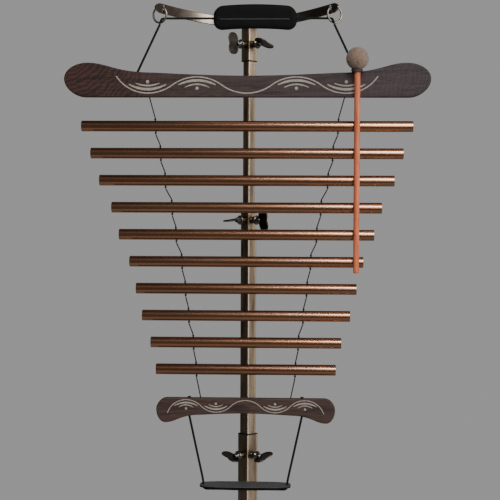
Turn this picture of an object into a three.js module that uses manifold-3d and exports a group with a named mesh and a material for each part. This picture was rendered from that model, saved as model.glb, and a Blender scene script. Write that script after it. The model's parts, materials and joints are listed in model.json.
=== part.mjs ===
// A tuned tube chime that hangs as a ladder from a leather grip, on a telescoping stand, with its mallet.
// Millimetres, +Z up, standing on z = 0 with the mast on the Z axis. The player stands at -Y.

import * as THREE from 'three';
import { mergeVertices } from 'three/addons/utils/BufferGeometryUtils.js';
import Module from 'manifold-3d';

const wasm = await Module();
wasm.setup();

// Clearance between pieces that touch
const GAP = 0.3;
// Wider gap where a thick cord bends between two pieces that swing
const CORD_HINGE_GAP = 0.8;
// How far a cutting tool reaches past the face that it cuts
const CUT_PAST = 1;

// Tuning: tubes sound a major pentatonic scale, and a free tube's pitch goes with 1 / length squared
const SCALE_SEMITONES = [0, 2, 4, 7, 9, 12, 14, 16, 19, 21];
const LONGEST_TUBE = 578;
const TUBE_DIAMETER = 19;
const TUBE_WALL = 1.5;
const TUBE_PITCH = 47.3;
// Where a free tube stands still while it rings, as a share of its length from either end
const NODE_SHARE = 0.2242;

// Cords: thin ones carry the tubes, thick ones carry the yokes and the grips
const THIN_CORD = 2;
const THIN_CORD_HOLE = 3.6;
const THIN_CORD_DEPTH = 6;
const KNOT_DIAMETER = 4.4;
const KNOT_LENGTH = 4;
// A knot is full between these shares of its length
const KNOT_FULL = [0.3, 0.7];
const THICK_CORD = 4;
const THICK_CORD_HOLE = 5.2;
const THICK_CORD_SLEEVE = 4.8;
const THICK_CORD_DEPTH = 16;
const THICK_CORD_HINGE_DEPTH = 2;
const THICK_KNOT_DIAMETER = 6;
const THICK_KNOT_LENGTH = 2.4;
// A thin cord leans in its holes: at a tube's knots it lies this far out above and this far in below
const CORD_LEAN = 0.5;
// A cord leaves a knot upright for this far before it slants away
const CORD_LEAD = 0.8;

// Yokes: half length, then the heights of the waist, shoulder, lobe and tip with their places along it.
// The nose is the round from the straight edge to the tip, and the lobe's crest stands in from the tip
const YOKE_THICKNESS = 12;
const YOKE_EDGE_ROUND = 1.5;
const YOKE_TO_TUBE = 50;
const UPPER_YOKE = {
  halfLength: 319.5, nose: 38, tip: 32, lobe: 60, lobeInset: 41, shoulder: 42.8, shoulderAt: 160, waist: 37.6,
};
const LOWER_YOKE = {
  halfLength: 157, nose: 19, tip: 20, lobe: 43.7, lobeInset: 16, shoulder: 30, shoulderAt: 78, waist: 27,
};
// How far the curves of a yoke's edge hold their direction, as shares of the stretch that each one spans
const YOKE_CURVE = {
  noseRun: 0.5, tipRise: 0.5, lobeRise: 0.6, lobeRun: 0.5, crestRun: 0.3, dipRun: 0.4, waistRun: 0.7,
  shoulderRun: 0.35, shoulderFall: 0.55,
};
const UPPER_CORD_AT = 191;
const UPPER_LADDER_AT = 170;
const LOWER_CORD_AT = 99;
const LOWER_LADDER_AT = 79;

// Leather grips
const UPPER_GRIP = {
  length: 145, height: 42, thickness: 9, edgeRound: 2, arch: 5, cornerRound: 17, offset: 14, rise: -1,
};
const LOWER_GRIP = {
  length: 160, depth: 50, thickness: 6.5, edgeRound: 1.2, tabThickness: 3.6, cornerRun: 46, cornerRound: 19,
  holeInset: 6,
};
const LOWER_CORD_DROP = 124;
const LOWER_CORD_BEND = 9;

// Mallet and its rubber link, which is threaded on the right-hand cord
const MALLET_DIAMETER = 39.5;
const MALLET_FLAT = 14;
const HANDLE_DIAMETER = 10.2;
const HANDLE_LENGTH = 373;
const HANDLE_END_ROUND = 3;
const HANDLE_IN_HEAD = 22;
const HANDLE_TO_TUBE = 10;
const LINK_WIDTH = 19;
const LINK_THICKNESS = 4.5;
const LINK_DROOP = 3.5;

// Stand: telescoping square tubes turned edge on to the player
const UPPER_MAST_SIDE = 16;
const MAST_WALL = 2;
const MAST_CLEARANCE = 0.5;
const MAST_CORNER = 1.8;
const LOWER_MAST_LENGTH = 402;
const MIDDLE_MAST_LENGTH = 563;
const MIDDLE_MAST_SHOWN = 413;
const UPPER_MAST_LENGTH = 479.5;
const UPPER_MAST_SHOWN = 329.5;
const SLEEVE_LENGTH = 81.5;
const SLEEVE_OVERLAP = 60.5;

// Hanger bow: a flat bar bent forward on both sides of the mast, with its ends raised and a hole before each
// tip. The span and the reach are the holes' places; the flat share is how far the bar starts out sideways
const BOW_HALF_SPAN = 144.8;
const BOW_REACH = 114.1;
const BOW_FLAT_SHARE = 0.415;
const BOW_RISE = 8.8;
const BOW_HEIGHT = 17;
const BOW_THICKNESS = 3;
const BOW_TIP = 22;
const BOW_TIP_ROUND = 15;
const BOW_HOLE = 9.4;
const BOW_HOLE_RISE = 2.5;

// Rings: each hangs in a hole of the bow, nearly square to the bar, with the bar's tip in front of its outer half.
// The turn from the player and the lean from hanging straight are in radians
const RING_RADIUS = 14;
const RING_WIRE = 3.6;
const RING_TURN = 0.52;
const RING_LEAN = -0.63;
const RING_TO_YOKE = 129.8;
// The bridle cord runs this far above the lowest wire of the rings, and this far in front of it below
const BRIDLE_RISE = 7.4;
const BRIDLE_FRONT = 6;
const BRIDLE_TAIL = 2.5;

// Wing screws, in pairs on the two front faces of each outer tube
const WING_BOSS_DIAMETER = 11;
const WING_BOSS_HEIGHT = 6;
const WING_SHAFT = 6;
const WING_SHAFT_BORE = 6.8;
const WING_COLLAR_DIAMETER = 17;
const WING_COLLAR_LENGTH = 3;
const WING_COLLAR_TAPER = 4;
const WING_HUB_DIAMETER = 10;
const WING_HUB_LENGTH = 12;
const WING_THREAD_SHOWN = 3.5;
const WING_PLATE = { length: 40, width: 25, thickness: 2.5, notch: 4, intoHub: 5 };
// Shares of the plate's half length and width at which its outline turns
const WING_CURVE = { shoulder: 0.6, root: 0.1, widest: 0.5, waist: 0.4 };
const WING_FROM_LOWER_TOP = 38;
const WING_FROM_MIDDLE_TOP = 20;
const WING_FROM_SLEEVE_BOTTOM = 30;
// How far each pair is screwed round, left and right, in radians from upright
const LOWER_WING_TURNS = [1.24, -1.24];
const MIDDLE_WING_TURNS = [1.69, 0.12];
const HANGER_WING_TURNS = [0.05, 1.2];

// Crossed foot bars with a flange for the mast
const FOOT_LENGTH = 560;
const FOOT_WIDTH = 30;
const FOOT_HEIGHT = 22;
const FOOT_PAD_LENGTH = 44;
const FOOT_PAD_HEIGHT = 6;
const FOOT_END_HEIGHT = 12;
const FLANGE_SIDE = 78;
const FLANGE_THICKNESS = 6;

// Facets: sides of round pieces and steps of curves
const CORD_SIDES = 8;
const DRILL_SIDES = 8;
const BORE_SIDES = 12;
const HUB_SIDES = 16;
const TUBE_SIDES = 20;
const RING_STEPS = 24;
const EDGE_STEPS = 5;
const BOW_STEPS = 11;
const CORNER_STEPS = 3;
const BALL_STEPS = 10;
const MEASURE_STEPS = 40;

// Levels and places that follow from the sizes above
const middleMastSide = UPPER_MAST_SIDE + 2 * (MAST_CLEARANCE + MAST_WALL);
const lowerMastSide = middleMastSide + 2 * (MAST_CLEARANCE + MAST_WALL);
const footTop = FOOT_PAD_HEIGHT + FOOT_HEIGHT;
const mastBottom = footTop + GAP;
const lowerMastTop = mastBottom + LOWER_MAST_LENGTH;
const middleMastTop = lowerMastTop + MIDDLE_MAST_SHOWN;
const upperMastTop = middleMastTop + UPPER_MAST_SHOWN;
const sleeveBottom = upperMastTop - SLEEVE_OVERLAP;
const bowSlope = BOW_RISE / BOW_REACH;
const bowBottom = upperMastTop + GAP + (bowSlope * BOW_THICKNESS) / 2;
const bowHoleZ = bowBottom + BOW_HEIGHT / 2 + BOW_HOLE_RISE + BOW_RISE;
const ringDrift = RING_RADIUS * Math.sin(RING_LEAN);
const ringX = BOW_HALF_SPAN - ringDrift * Math.cos(RING_TURN);
const chimeY = -BOW_REACH - ringDrift * Math.sin(RING_TURN);
const ringZ = bowHoleZ - RING_RADIUS * Math.cos(RING_LEAN);
const ringBottom = ringZ - RING_RADIUS;
const upperYokeZ = ringBottom - RING_TO_YOKE;
const tubeZ = (index) => upperYokeZ - YOKE_TO_TUBE - index * TUBE_PITCH;
const lowerYokeZ = tubeZ(SCALE_SEMITONES.length - 1) - YOKE_TO_TUBE;
const tubeLength = (index) => LONGEST_TUBE * 2 ** (-SCALE_SEMITONES[index] / 24);
const nodeX = (index) => tubeLength(index) * (0.5 - NODE_SHARE);
const bridleY = chimeY + GAP;
const bridleZ = ringBottom + BRIDLE_RISE;

// Finishes
const finish = (color, roughness, metalness) => new THREE.MeshStandardMaterial({ color, roughness, metalness });
const bronze = () => finish(0x9a6a42, 0.28, 1);
const darkWood = () => finish(0x4b3b39, 0.55, 0);
const redWood = () => finish(0x64463c, 0.55, 0);
const steel = () => finish(0x6b5f54, 0.4, 0.9);
const gunmetal = () => finish(0x463e37, 0.45, 0.9);
const leather = () => finish(0x19191b, 0.6, 0);
const cordBlack = () => finish(0x161617, 0.8, 0);
const handleWood = () => finish(0xc3694b, 0.5, 0);
const felt = () => finish(0x877869, 0.95, 0);
const rubber = () => finish(0x464644, 0.8, 0);

// Boolean joins and cuts
function bare(geometry) {
  const copy = geometry.clone();
  copy.deleteAttribute('normal');
  copy.deleteAttribute('uv');
  return mergeVertices(copy, 1e-4);
}

function solidOf(geometry) {
  const merged = bare(geometry);
  return new wasm.Manifold(new wasm.Mesh({
    numProp: 3,
    vertProperties: new Float32Array(merged.attributes.position.array),
    triVerts: new Uint32Array(merged.index.array),
  }));
}

function geometryOf(solid) {
  const { vertProperties, triVerts } = solid.getMesh();
  const geometry = new THREE.BufferGeometry();
  geometry.setAttribute('position', new THREE.BufferAttribute(vertProperties, 3));
  geometry.setIndex(new THREE.BufferAttribute(triVerts, 1));
  geometry.computeVertexNormals();
  return geometry;
}

const cut = (geometry, ...tools) =>
  geometryOf(tools.reduce((solid, tool) => solid.subtract(solidOf(tool)), solidOf(geometry)));

const common = (geometry, other) => geometryOf(solidOf(geometry).intersect(solidOf(other)));

const join = (...pieces) =>
  geometryOf(pieces.slice(1).reduce((solid, piece) => solid.add(solidOf(piece)), solidOf(pieces[0])));

// A cylinder from one point to another
function rod(from, to, diameter, sides) {
  const along = new THREE.Vector3().subVectors(to, from);
  const geometry = new THREE.CylinderGeometry(diameter / 2, diameter / 2, along.length(), sides);
  const turn = new THREE.Quaternion().setFromUnitVectors(new THREE.Vector3(0, 1, 0), along.clone().normalize());
  const middle = new THREE.Vector3().addVectors(from, to).multiplyScalar(0.5);
  return geometry.applyMatrix4(new THREE.Matrix4().compose(middle, turn, new THREE.Vector3(1, 1, 1)));
}

const point = (x, y, z) => new THREE.Vector3(x, y, z);

// A closed tube along stations of a centre line, each with its own diameter
function cordSolid(stations) {
  const positions = [];
  const indices = [];
  stations.forEach(({ at }, i) => {
    const before = stations[Math.max(i - 1, 0)].at;
    const after = stations[Math.min(i + 1, stations.length - 1)].at;
    const along = new THREE.Vector3().subVectors(after, before).normalize();
    const side = new THREE.Vector3().crossVectors(along, point(0, 1, 0)).normalize();
    const over = new THREE.Vector3().crossVectors(side, along);
    for (let k = 0; k < CORD_SIDES; k += 1) {
      const turn = (2 * Math.PI * k) / CORD_SIDES;
      const rim = at.clone()
        .addScaledVector(side, (stations[i].diameter / 2) * Math.cos(turn))
        .addScaledVector(over, (stations[i].diameter / 2) * Math.sin(turn));
      positions.push(rim.x, rim.y, rim.z);
    }
  });
  const ring = (i, k) => i * CORD_SIDES + (k % CORD_SIDES);
  for (let i = 0; i + 1 < stations.length; i += 1) {
    for (let k = 0; k < CORD_SIDES; k += 1) {
      indices.push(ring(i, k), ring(i + 1, k), ring(i, k + 1));
      indices.push(ring(i, k + 1), ring(i + 1, k), ring(i + 1, k + 1));
    }
  }
  const last = stations.length - 1;
  for (let k = 1; k + 1 < CORD_SIDES; k += 1) {
    indices.push(ring(0, 0), ring(0, k), ring(0, k + 1));
    indices.push(ring(last, 0), ring(last, k + 1), ring(last, k));
  }
  const geometry = new THREE.BufferGeometry();
  geometry.setAttribute('position', new THREE.Float32BufferAttribute(positions, 3));
  geometry.setIndex(indices);
  geometry.computeVertexNormals();
  return geometry;
}

const evenCord = (points, diameter) => cordSolid(points.map((at) => ({ at, diameter })));

// A flat shape drawn in X and Z, made solid about a plane of constant Y
function uprightPlate(shape, thickness, edgeRound, y) {
  const geometry = new THREE.ExtrudeGeometry(shape, {
    depth: thickness - 2 * edgeRound,
    bevelEnabled: edgeRound > 0,
    bevelThickness: edgeRound,
    bevelSize: edgeRound,
    bevelOffset: -edgeRound,
    bevelSegments: 2,
    curveSegments: EDGE_STEPS,
  });
  return geometry.rotateX(Math.PI / 2).translate(0, y + thickness / 2 - edgeRound, 0);
}

const straightHalf = ({ halfLength, nose }) => halfLength - nose;

// Half of a yoke's curved edge, from the end of its straight edge round the lobe to the waist
function yokeHalf(shape, size, side, up) {
  const { halfLength, nose, tip, lobe, lobeInset, shoulder, shoulderAt, waist } = size;
  const lobeAt = halfLength - lobeInset;
  const flank = lobeAt - shoulderAt;
  const curve = (x1, z1, x2, z2, x, z) =>
    shape.bezierCurveTo(side * x1, up * z1, side * x2, up * z2, side * x, up * z);
  curve(straightHalf(size) + YOKE_CURVE.noseRun * nose, 0, halfLength, YOKE_CURVE.tipRise * tip,
    halfLength, tip);
  curve(halfLength, tip + YOKE_CURVE.lobeRise * (lobe - tip), lobeAt + YOKE_CURVE.lobeRun * lobeInset, lobe,
    lobeAt, lobe);
  curve(lobeAt - YOKE_CURVE.crestRun * flank, lobe, lobeAt - YOKE_CURVE.dipRun * flank, shoulder,
    shoulderAt, shoulder);
  curve((1 - YOKE_CURVE.shoulderRun) * shoulderAt, shoulder - YOKE_CURVE.shoulderFall * (shoulder - waist),
    (1 - YOKE_CURVE.waistRun) * shoulderAt, waist, 0, waist);
}

function yokeShape(size, up) {
  const shape = new THREE.Shape();
  shape.moveTo(0, 0);
  shape.lineTo(straightHalf(size), 0);
  yokeHalf(shape, size, 1, up);
  const other = new THREE.Path();
  other.moveTo(-straightHalf(size), 0);
  yokeHalf(other, size, -1, up);
  other.getPoints(EDGE_STEPS).reverse().slice(1).forEach(({ x, y }) => shape.lineTo(x, y));
  shape.closePath();
  return shape;
}

// How far a yoke's curved edge lies from its straight edge at a place along it
function yokeDepthAt(size, x) {
  const edge = new THREE.Path();
  edge.moveTo(straightHalf(size), 0);
  yokeHalf(edge, size, 1, 1);
  const points = edge.getPoints(MEASURE_STEPS).filter((p) => p.x <= size.halfLength - size.lobeInset);
  const next = points.findIndex((p, i) => i > 0 && p.x <= x && points[i - 1].x >= x);
  const [a, b] = [points[next - 1], points[next]];
  return b.y + ((a.y - b.y) * (x - b.x)) / (a.x - b.x);
}

// Where the thick cords leave the upper yoke's top and the lower yoke's underside
const upperCordZ = upperYokeZ + yokeDepthAt(UPPER_YOKE, UPPER_CORD_AT);
const lowerCordZ = lowerYokeZ - yokeDepthAt(LOWER_YOKE, LOWER_CORD_AT);
const dropTop = point(ringX - CORD_HINGE_GAP, chimeY - BRIDLE_FRONT, ringBottom - BRIDLE_TAIL - CORD_HINGE_GAP);
const dropFoot = point(UPPER_CORD_AT, chimeY, upperCordZ);
const dropWay = new THREE.Vector3().subVectors(dropFoot, dropTop).normalize();
const mirrored = (p) => point(-p.x, p.y, p.z);
const SIDES = [['left', -1], ['right', 1]];
const onSide = (p, side) => (side > 0 ? p : mirrored(p));

const chime = new THREE.Group();

function add(name, geometry, material) {
  const mesh = new THREE.Mesh(geometry, material);
  mesh.name = name;
  chime.add(mesh);
}

// Foot bars: half-lapped where they cross, with a pad under each end
function footBar(notchOnTop) {
  const half = FOOT_LENGTH / 2;
  const shape = new THREE.Shape();
  shape.moveTo(-half, 0);
  shape.lineTo(-half + FOOT_PAD_LENGTH, 0);
  shape.lineTo(-half + FOOT_PAD_LENGTH + FOOT_PAD_HEIGHT, FOOT_PAD_HEIGHT);
  shape.lineTo(half - FOOT_PAD_LENGTH - FOOT_PAD_HEIGHT, FOOT_PAD_HEIGHT);
  shape.lineTo(half - FOOT_PAD_LENGTH, 0);
  shape.lineTo(half, 0);
  shape.lineTo(half, FOOT_END_HEIGHT);
  shape.quadraticCurveTo(half, footTop, half - FOOT_PAD_LENGTH, footTop);
  shape.lineTo(-half + FOOT_PAD_LENGTH, footTop);
  shape.quadraticCurveTo(-half, footTop, -half, FOOT_END_HEIGHT);
  const lap = FOOT_PAD_HEIGHT + FOOT_HEIGHT / 2;
  const notchWidth = FOOT_WIDTH + 2 * GAP;
  const notch = new THREE.BoxGeometry(notchWidth, FOOT_WIDTH + 2 * CUT_PAST, FOOT_HEIGHT);
  notch.translate(0, 0, notchOnTop ? lap + FOOT_HEIGHT / 2 - GAP / 2 : lap - FOOT_HEIGHT / 2 + GAP / 2);
  return cut(uprightPlate(shape, FOOT_WIDTH, 0, 0), notch);
}

add('foot_bar_left_front', footBar(true).rotateZ(Math.PI / 4), gunmetal());
add('foot_bar_right_front', footBar(false).rotateZ(-Math.PI / 4), gunmetal());

// Mast: square tubes with rounded corners, each sliding in the one below
function roundedSquare(path, side, corner) {
  const h = side / 2;
  path.moveTo(h, -h + corner);
  path.lineTo(h, h - corner);
  path.quadraticCurveTo(h, h, h - corner, h);
  path.lineTo(-h + corner, h);
  path.quadraticCurveTo(-h, h, -h, h - corner);
  path.lineTo(-h, -h + corner);
  path.quadraticCurveTo(-h, -h, -h + corner, -h);
  path.lineTo(h - corner, -h);
  path.quadraticCurveTo(h, -h, h, -h + corner);
  return path;
}

function squareTube(side, bottom, length) {
  const shape = roundedSquare(new THREE.Shape(), side, MAST_CORNER);
  const bore = side - 2 * MAST_WALL;
  shape.holes.push(roundedSquare(new THREE.Path(), bore, MAST_CORNER / 2));
  const geometry = new THREE.ExtrudeGeometry(shape, {
    depth: length, bevelEnabled: false, curveSegments: CORNER_STEPS,
  });
  return geometry.rotateZ(Math.PI / 4).translate(0, 0, bottom);
}

// The two front faces look along these headings
const FRONT_FACES = [['left', -0.75 * Math.PI], ['right', -0.25 * Math.PI]];

// A tube with a threaded boss and its bore on each front face
function clampTube(tube, side, bossZ) {
  const outward = (heading, distance) =>
    point(distance * Math.cos(heading), distance * Math.sin(heading), bossZ);
  const face = side / 2;
  const bosses = FRONT_FACES.map(([, heading]) => rod(outward(heading, face - MAST_WALL / 2),
    outward(heading, face + WING_BOSS_HEIGHT), WING_BOSS_DIAMETER, HUB_SIDES));
  const bores = FRONT_FACES.map(([, heading]) => rod(outward(heading, face - 2 * MAST_WALL),
    outward(heading, face + WING_BOSS_HEIGHT + CUT_PAST), WING_SHAFT_BORE, BORE_SIDES));
  return cut(join(tube, ...bosses), ...bores);
}

// A wing screw along +X from the mast's centre: shaft, collared hub and a flat wing with a notched outer edge
function wingScrew(side) {
  const face = side / 2;
  const tipAt = face - MAST_WALL - MAST_CLEARANCE + GAP;
  const hubAt = face + WING_BOSS_HEIGHT + WING_THREAD_SHOWN;
  const plateAt = hubAt + WING_HUB_LENGTH - WING_PLATE.intoHub;
  const { length, width, thickness, notch } = WING_PLATE;
  const half = length / 2;
  const shape = new THREE.Shape();
  const outer = plateAt + width;
  const root = plateAt + WING_CURVE.root * width;
  const widest = plateAt + WING_CURVE.widest * width;
  const [shoulder, waist] = [WING_CURVE.shoulder * half, WING_CURVE.waist * half];
  shape.moveTo(plateAt, 0);
  shape.bezierCurveTo(plateAt, -shoulder, root, -half, widest, -half);
  shape.bezierCurveTo(outer, -half, outer, -waist, outer - notch, 0);
  shape.bezierCurveTo(outer, waist, outer, half, widest, half);
  shape.bezierCurveTo(root, half, plateAt, shoulder, plateAt, 0);
  const plate = uprightPlate(shape, thickness, 0, 0);
  const shaft = rod(point(tipAt, 0, 0), point(hubAt + CUT_PAST, 0, 0), WING_SHAFT, BORE_SIDES);
  const [collar, neck] = [WING_COLLAR_DIAMETER / 2, WING_HUB_DIAMETER / 2];
  const neckAt = WING_COLLAR_LENGTH + WING_COLLAR_TAPER;
  const profile = [[0, 0], [collar, 0], [collar, WING_COLLAR_LENGTH], [neck, neckAt], [neck, WING_HUB_LENGTH],
    [0, WING_HUB_LENGTH]];
  const hub = new THREE.LatheGeometry(profile.map(([r, h]) => new THREE.Vector2(r, h)), HUB_SIDES);
  return join(hub.rotateZ(-Math.PI / 2).translate(hubAt, 0, 0), shaft, plate);
}

function addWingScrews(tube, side, z, turns) {
  FRONT_FACES.forEach(([name, heading], i) => {
    const geometry = wingScrew(side).rotateX(turns[i]).rotateZ(heading).translate(0, 0, z);
    add(`${tube}_wing_screw_${name}`, geometry, gunmetal());
  });
}

const flange = new THREE.BoxGeometry(FLANGE_SIDE, FLANGE_SIDE, FLANGE_THICKNESS);
flange.rotateZ(Math.PI / 4).translate(0, 0, mastBottom + FLANGE_THICKNESS / 2);
const lowerTube = join(squareTube(lowerMastSide, mastBottom, LOWER_MAST_LENGTH), flange);
const lowerWingZ = lowerMastTop - WING_FROM_LOWER_TOP;
const middleWingZ = middleMastTop - WING_FROM_MIDDLE_TOP;
const hangerWingZ = sleeveBottom + WING_FROM_SLEEVE_BOTTOM;
add('lower_mast', clampTube(lowerTube, lowerMastSide, lowerWingZ), steel());
const middleTube = squareTube(middleMastSide, middleMastTop - MIDDLE_MAST_LENGTH, MIDDLE_MAST_LENGTH);
add('middle_mast', clampTube(middleTube, middleMastSide, middleWingZ), steel());
add('upper_mast', squareTube(UPPER_MAST_SIDE, upperMastTop - UPPER_MAST_LENGTH, UPPER_MAST_LENGTH), steel());

// Hanger sleeve: slotted at the top for the bow, which rests on the end of the upper mast
const bowFlat = BOW_FLAT_SHARE * BOW_HALF_SPAN;
const bowSpread = BOW_HALF_SPAN - 2 * bowFlat;
const bowHeading = Math.atan2(BOW_REACH, BOW_HALF_SPAN - bowFlat);
const sleeveReach = middleMastSide * Math.SQRT1_2;
const bowSag = BOW_REACH * (sleeveReach / (bowFlat + Math.sqrt(bowFlat ** 2 + bowSpread * sleeveReach))) ** 2;
const slot = new THREE.BoxGeometry(4 * sleeveReach, BOW_THICKNESS + bowSag + 2 * GAP, SLEEVE_LENGTH);
slot.translate(0, -bowSag / 2, upperMastTop + SLEEVE_LENGTH / 2);
const sleeveTube = squareTube(middleMastSide, sleeveBottom, SLEEVE_LENGTH);
add('hanger_sleeve', cut(clampTube(sleeveTube, middleMastSide, hangerWingZ), slot), steel());

addWingScrews('lower', lowerMastSide, lowerWingZ, LOWER_WING_TURNS);
addWingScrews('middle', middleMastSide, middleWingZ, MIDDLE_WING_TURNS);
addWingScrews('hanger', middleMastSide, hangerWingZ, HANGER_WING_TURNS);

// Hanger bow: each half runs out along a quadratic curve to its hole and on straight to an oval tip. It is
// drilled for the rings, then sheared so that its ends rise
function bowEdge(distance) {
  const edge = Array.from({ length: BOW_STEPS + 1 }, (_, i) => {
    const t = i / BOW_STEPS;
    const way = new THREE.Vector2(bowFlat + t * bowSpread, -t * BOW_REACH).normalize();
    const on = new THREE.Vector2(2 * t * bowFlat + t * t * bowSpread, -t * t * BOW_REACH);
    return new THREE.Vector2(on.x - distance * way.y, on.y + distance * way.x);
  });
  const last = edge[BOW_STEPS];
  const tip = new THREE.Vector2(last.x + BOW_TIP * Math.cos(bowHeading), last.y - BOW_TIP * Math.sin(bowHeading));
  return [...edge, tip];
}

function hangerBow() {
  const [back, front] = [bowEdge(BOW_THICKNESS / 2), bowEdge(-BOW_THICKNESS / 2)];
  const right = [...front, ...back.slice().reverse()];
  const left = right.slice(1, -1).map((p) => new THREE.Vector2(-p.x, p.y)).reverse();
  const bar = new THREE.ExtrudeGeometry(new THREE.Shape([...right, ...left]), {
    depth: BOW_HEIGHT, bevelEnabled: false,
  });
  const tools = SIDES.flatMap(([, side]) => {
    const heading = Math.atan2(-Math.sin(bowHeading), side * Math.cos(bowHeading));
    const across = (along, distance, rise = 0) => point(
      side * BOW_HALF_SPAN + along * Math.cos(heading) + distance * Math.sin(heading),
      -BOW_REACH + along * Math.sin(heading) - distance * Math.cos(heading), BOW_HEIGHT / 2 + rise);
    const reach = 4 * BOW_THICKNESS;
    const roundAt = across(BOW_TIP - BOW_TIP_ROUND, 0);
    const beyond = new THREE.BoxGeometry(2 * BOW_TIP_ROUND, reach, 2 * BOW_HEIGHT).translate(BOW_TIP_ROUND, 0, 0);
    beyond.rotateZ(heading).translate(...roundAt.toArray());
    const round = new THREE.CylinderGeometry(BOW_HEIGHT / 2, BOW_HEIGHT / 2, 2 * reach, RING_STEPS);
    round.scale((2 * BOW_TIP_ROUND) / BOW_HEIGHT, 1, 1).rotateZ(heading).translate(...roundAt.toArray());
    const hole = rod(across(0, -reach, BOW_HOLE_RISE), across(0, reach, BOW_HOLE_RISE), BOW_HOLE, HUB_SIDES);
    return [cut(beyond, round), hole];
  });
  const rise = new THREE.Matrix4().set(1, 0, 0, 0, 0, 1, 0, 0, 0, -bowSlope, 1, bowBottom, 0, 0, 0, 1);
  return cut(bar, ...tools).applyMatrix4(rise);
}

add('hanger_bow', hangerBow(), steel());

SIDES.forEach(([name, side]) => {
  const ring = new THREE.TorusGeometry(RING_RADIUS, RING_WIRE / 2, CORD_SIDES, RING_STEPS).rotateX(Math.PI / 2);
  add(`${name}_ring`, ring.rotateZ(side * RING_TURN).translate(side * ringX, chimeY, ringZ), steel());
});

// Bridle: the thick cord runs from ring to ring through the upper grip. It passes behind each ring's inner
// side, through the ring and down in front of its lowest wire. Offsets are from that wire
const BRIDLE_ROUTE = [
  [-60, GAP, BRIDLE_RISE],
  [-22, GAP, BRIDLE_RISE],
  [-11, 0.2, BRIDLE_RISE],
  [-7.3, -1.2, 7],
  [-4, -4.5, 5.6],
  [-1.9, -BRIDLE_FRONT, 1.2],
  [-1, -BRIDLE_FRONT, -BRIDLE_TAIL],
];

function bridlePoints() {
  const end = BRIDLE_ROUTE.map(([dx, dy, dz]) => point(ringX + dx, chimeY + dy, ringBottom + dz));
  return [...end.map(mirrored).reverse(), ...end];
}

add('bridle_cord', evenCord(bridlePoints(), THICK_CORD), cordBlack());

// Upper grip: leather sewn round the bridle cord, slightly arched
function upperGrip() {
  const { length, height, thickness, edgeRound, arch, cornerRound, offset, rise } = UPPER_GRIP;
  const [half, top, bottom] = [length / 2, height / 2, -height / 2];
  const shape = new THREE.Shape();
  shape.moveTo(-half + cornerRound, bottom);
  shape.quadraticCurveTo(0, bottom + 2 * arch, half - cornerRound, bottom);
  shape.quadraticCurveTo(half, bottom, half, bottom + cornerRound);
  shape.lineTo(half, top - cornerRound);
  shape.quadraticCurveTo(half, top, half - cornerRound, top);
  shape.quadraticCurveTo(0, top + 2 * arch, -half + cornerRound, top);
  shape.quadraticCurveTo(-half, top, -half, top - cornerRound);
  shape.lineTo(-half, bottom + cornerRound);
  shape.quadraticCurveTo(-half, bottom, -half + cornerRound, bottom);
  const pad = uprightPlate(shape, thickness, edgeRound, 0);
  pad.translate(offset, bridleY, bridleZ + rise);
  const reach = half + CUT_PAST;
  const bore = rod(point(offset - reach, bridleY, bridleZ), point(offset + reach, bridleY, bridleZ),
    THICK_CORD_SLEEVE, BORE_SIDES);
  return cut(pad, bore);
}

add('upper_grip', upperGrip(), leather());

// Upper yoke: drilled at a slant for the thick cord above and upright for the thin cords below
const ladderHole = (x, z, up) =>
  rod(point(x, chimeY, z - up * CUT_PAST), point(x, chimeY, z + up * (THIN_CORD_DEPTH + 2 * CUT_PAST)),
    THIN_CORD_HOLE, DRILL_SIDES);

SIDES.forEach(([name, side]) => {
  const foot = dropFoot.clone().addScaledVector(dropWay, THICK_CORD_DEPTH);
  const drop = [dropTop, dropTop.clone().lerp(foot, 0.5), foot].map((p) => onSide(p, side));
  add(`upper_cord_${name}`, evenCord(drop, THICK_CORD), cordBlack());
});

function upperYoke() {
  const plank = uprightPlate(yokeShape(UPPER_YOKE, 1), YOKE_THICKNESS, YOKE_EDGE_ROUND, chimeY);
  plank.translate(0, 0, upperYokeZ);
  const drills = SIDES.flatMap(([, side]) => [
    rod(onSide(dropFoot.clone().addScaledVector(dropWay, -THICK_CORD_DEPTH), side),
      onSide(dropFoot.clone().addScaledVector(dropWay, THICK_CORD_DEPTH + CUT_PAST), side), THICK_CORD_HOLE,
      BORE_SIDES),
    ladderHole(side * UPPER_LADDER_AT, upperYokeZ, 1),
  ]);
  return cut(plank, ...drills);
}

add('upper_yoke', upperYoke(), darkWood());

// Tubes: hollow, open at both ends, drilled through both walls at their still points
function chimeTube(index) {
  const [outer, inner] = [TUBE_DIAMETER / 2, TUBE_DIAMETER / 2 - TUBE_WALL];
  const half = tubeLength(index) / 2;
  const profile = [[inner, -half], [outer, -half], [outer, half], [inner, half], [inner, -half]];
  const pipe = new THREE.LatheGeometry(profile.map(([r, h]) => new THREE.Vector2(r, h)), TUBE_SIDES);
  const drills = SIDES.map(([, side]) => rod(point(side * nodeX(index), 0, -TUBE_DIAMETER),
    point(side * nodeX(index), 0, TUBE_DIAMETER), THIN_CORD_HOLE, DRILL_SIDES));
  return cut(pipe.rotateZ(Math.PI / 2), ...drills).translate(0, chimeY, tubeZ(index));
}

// The knots above and below a tube bear on it
const knotSeat = TUBE_DIAMETER / 2 + GAP;

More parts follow.
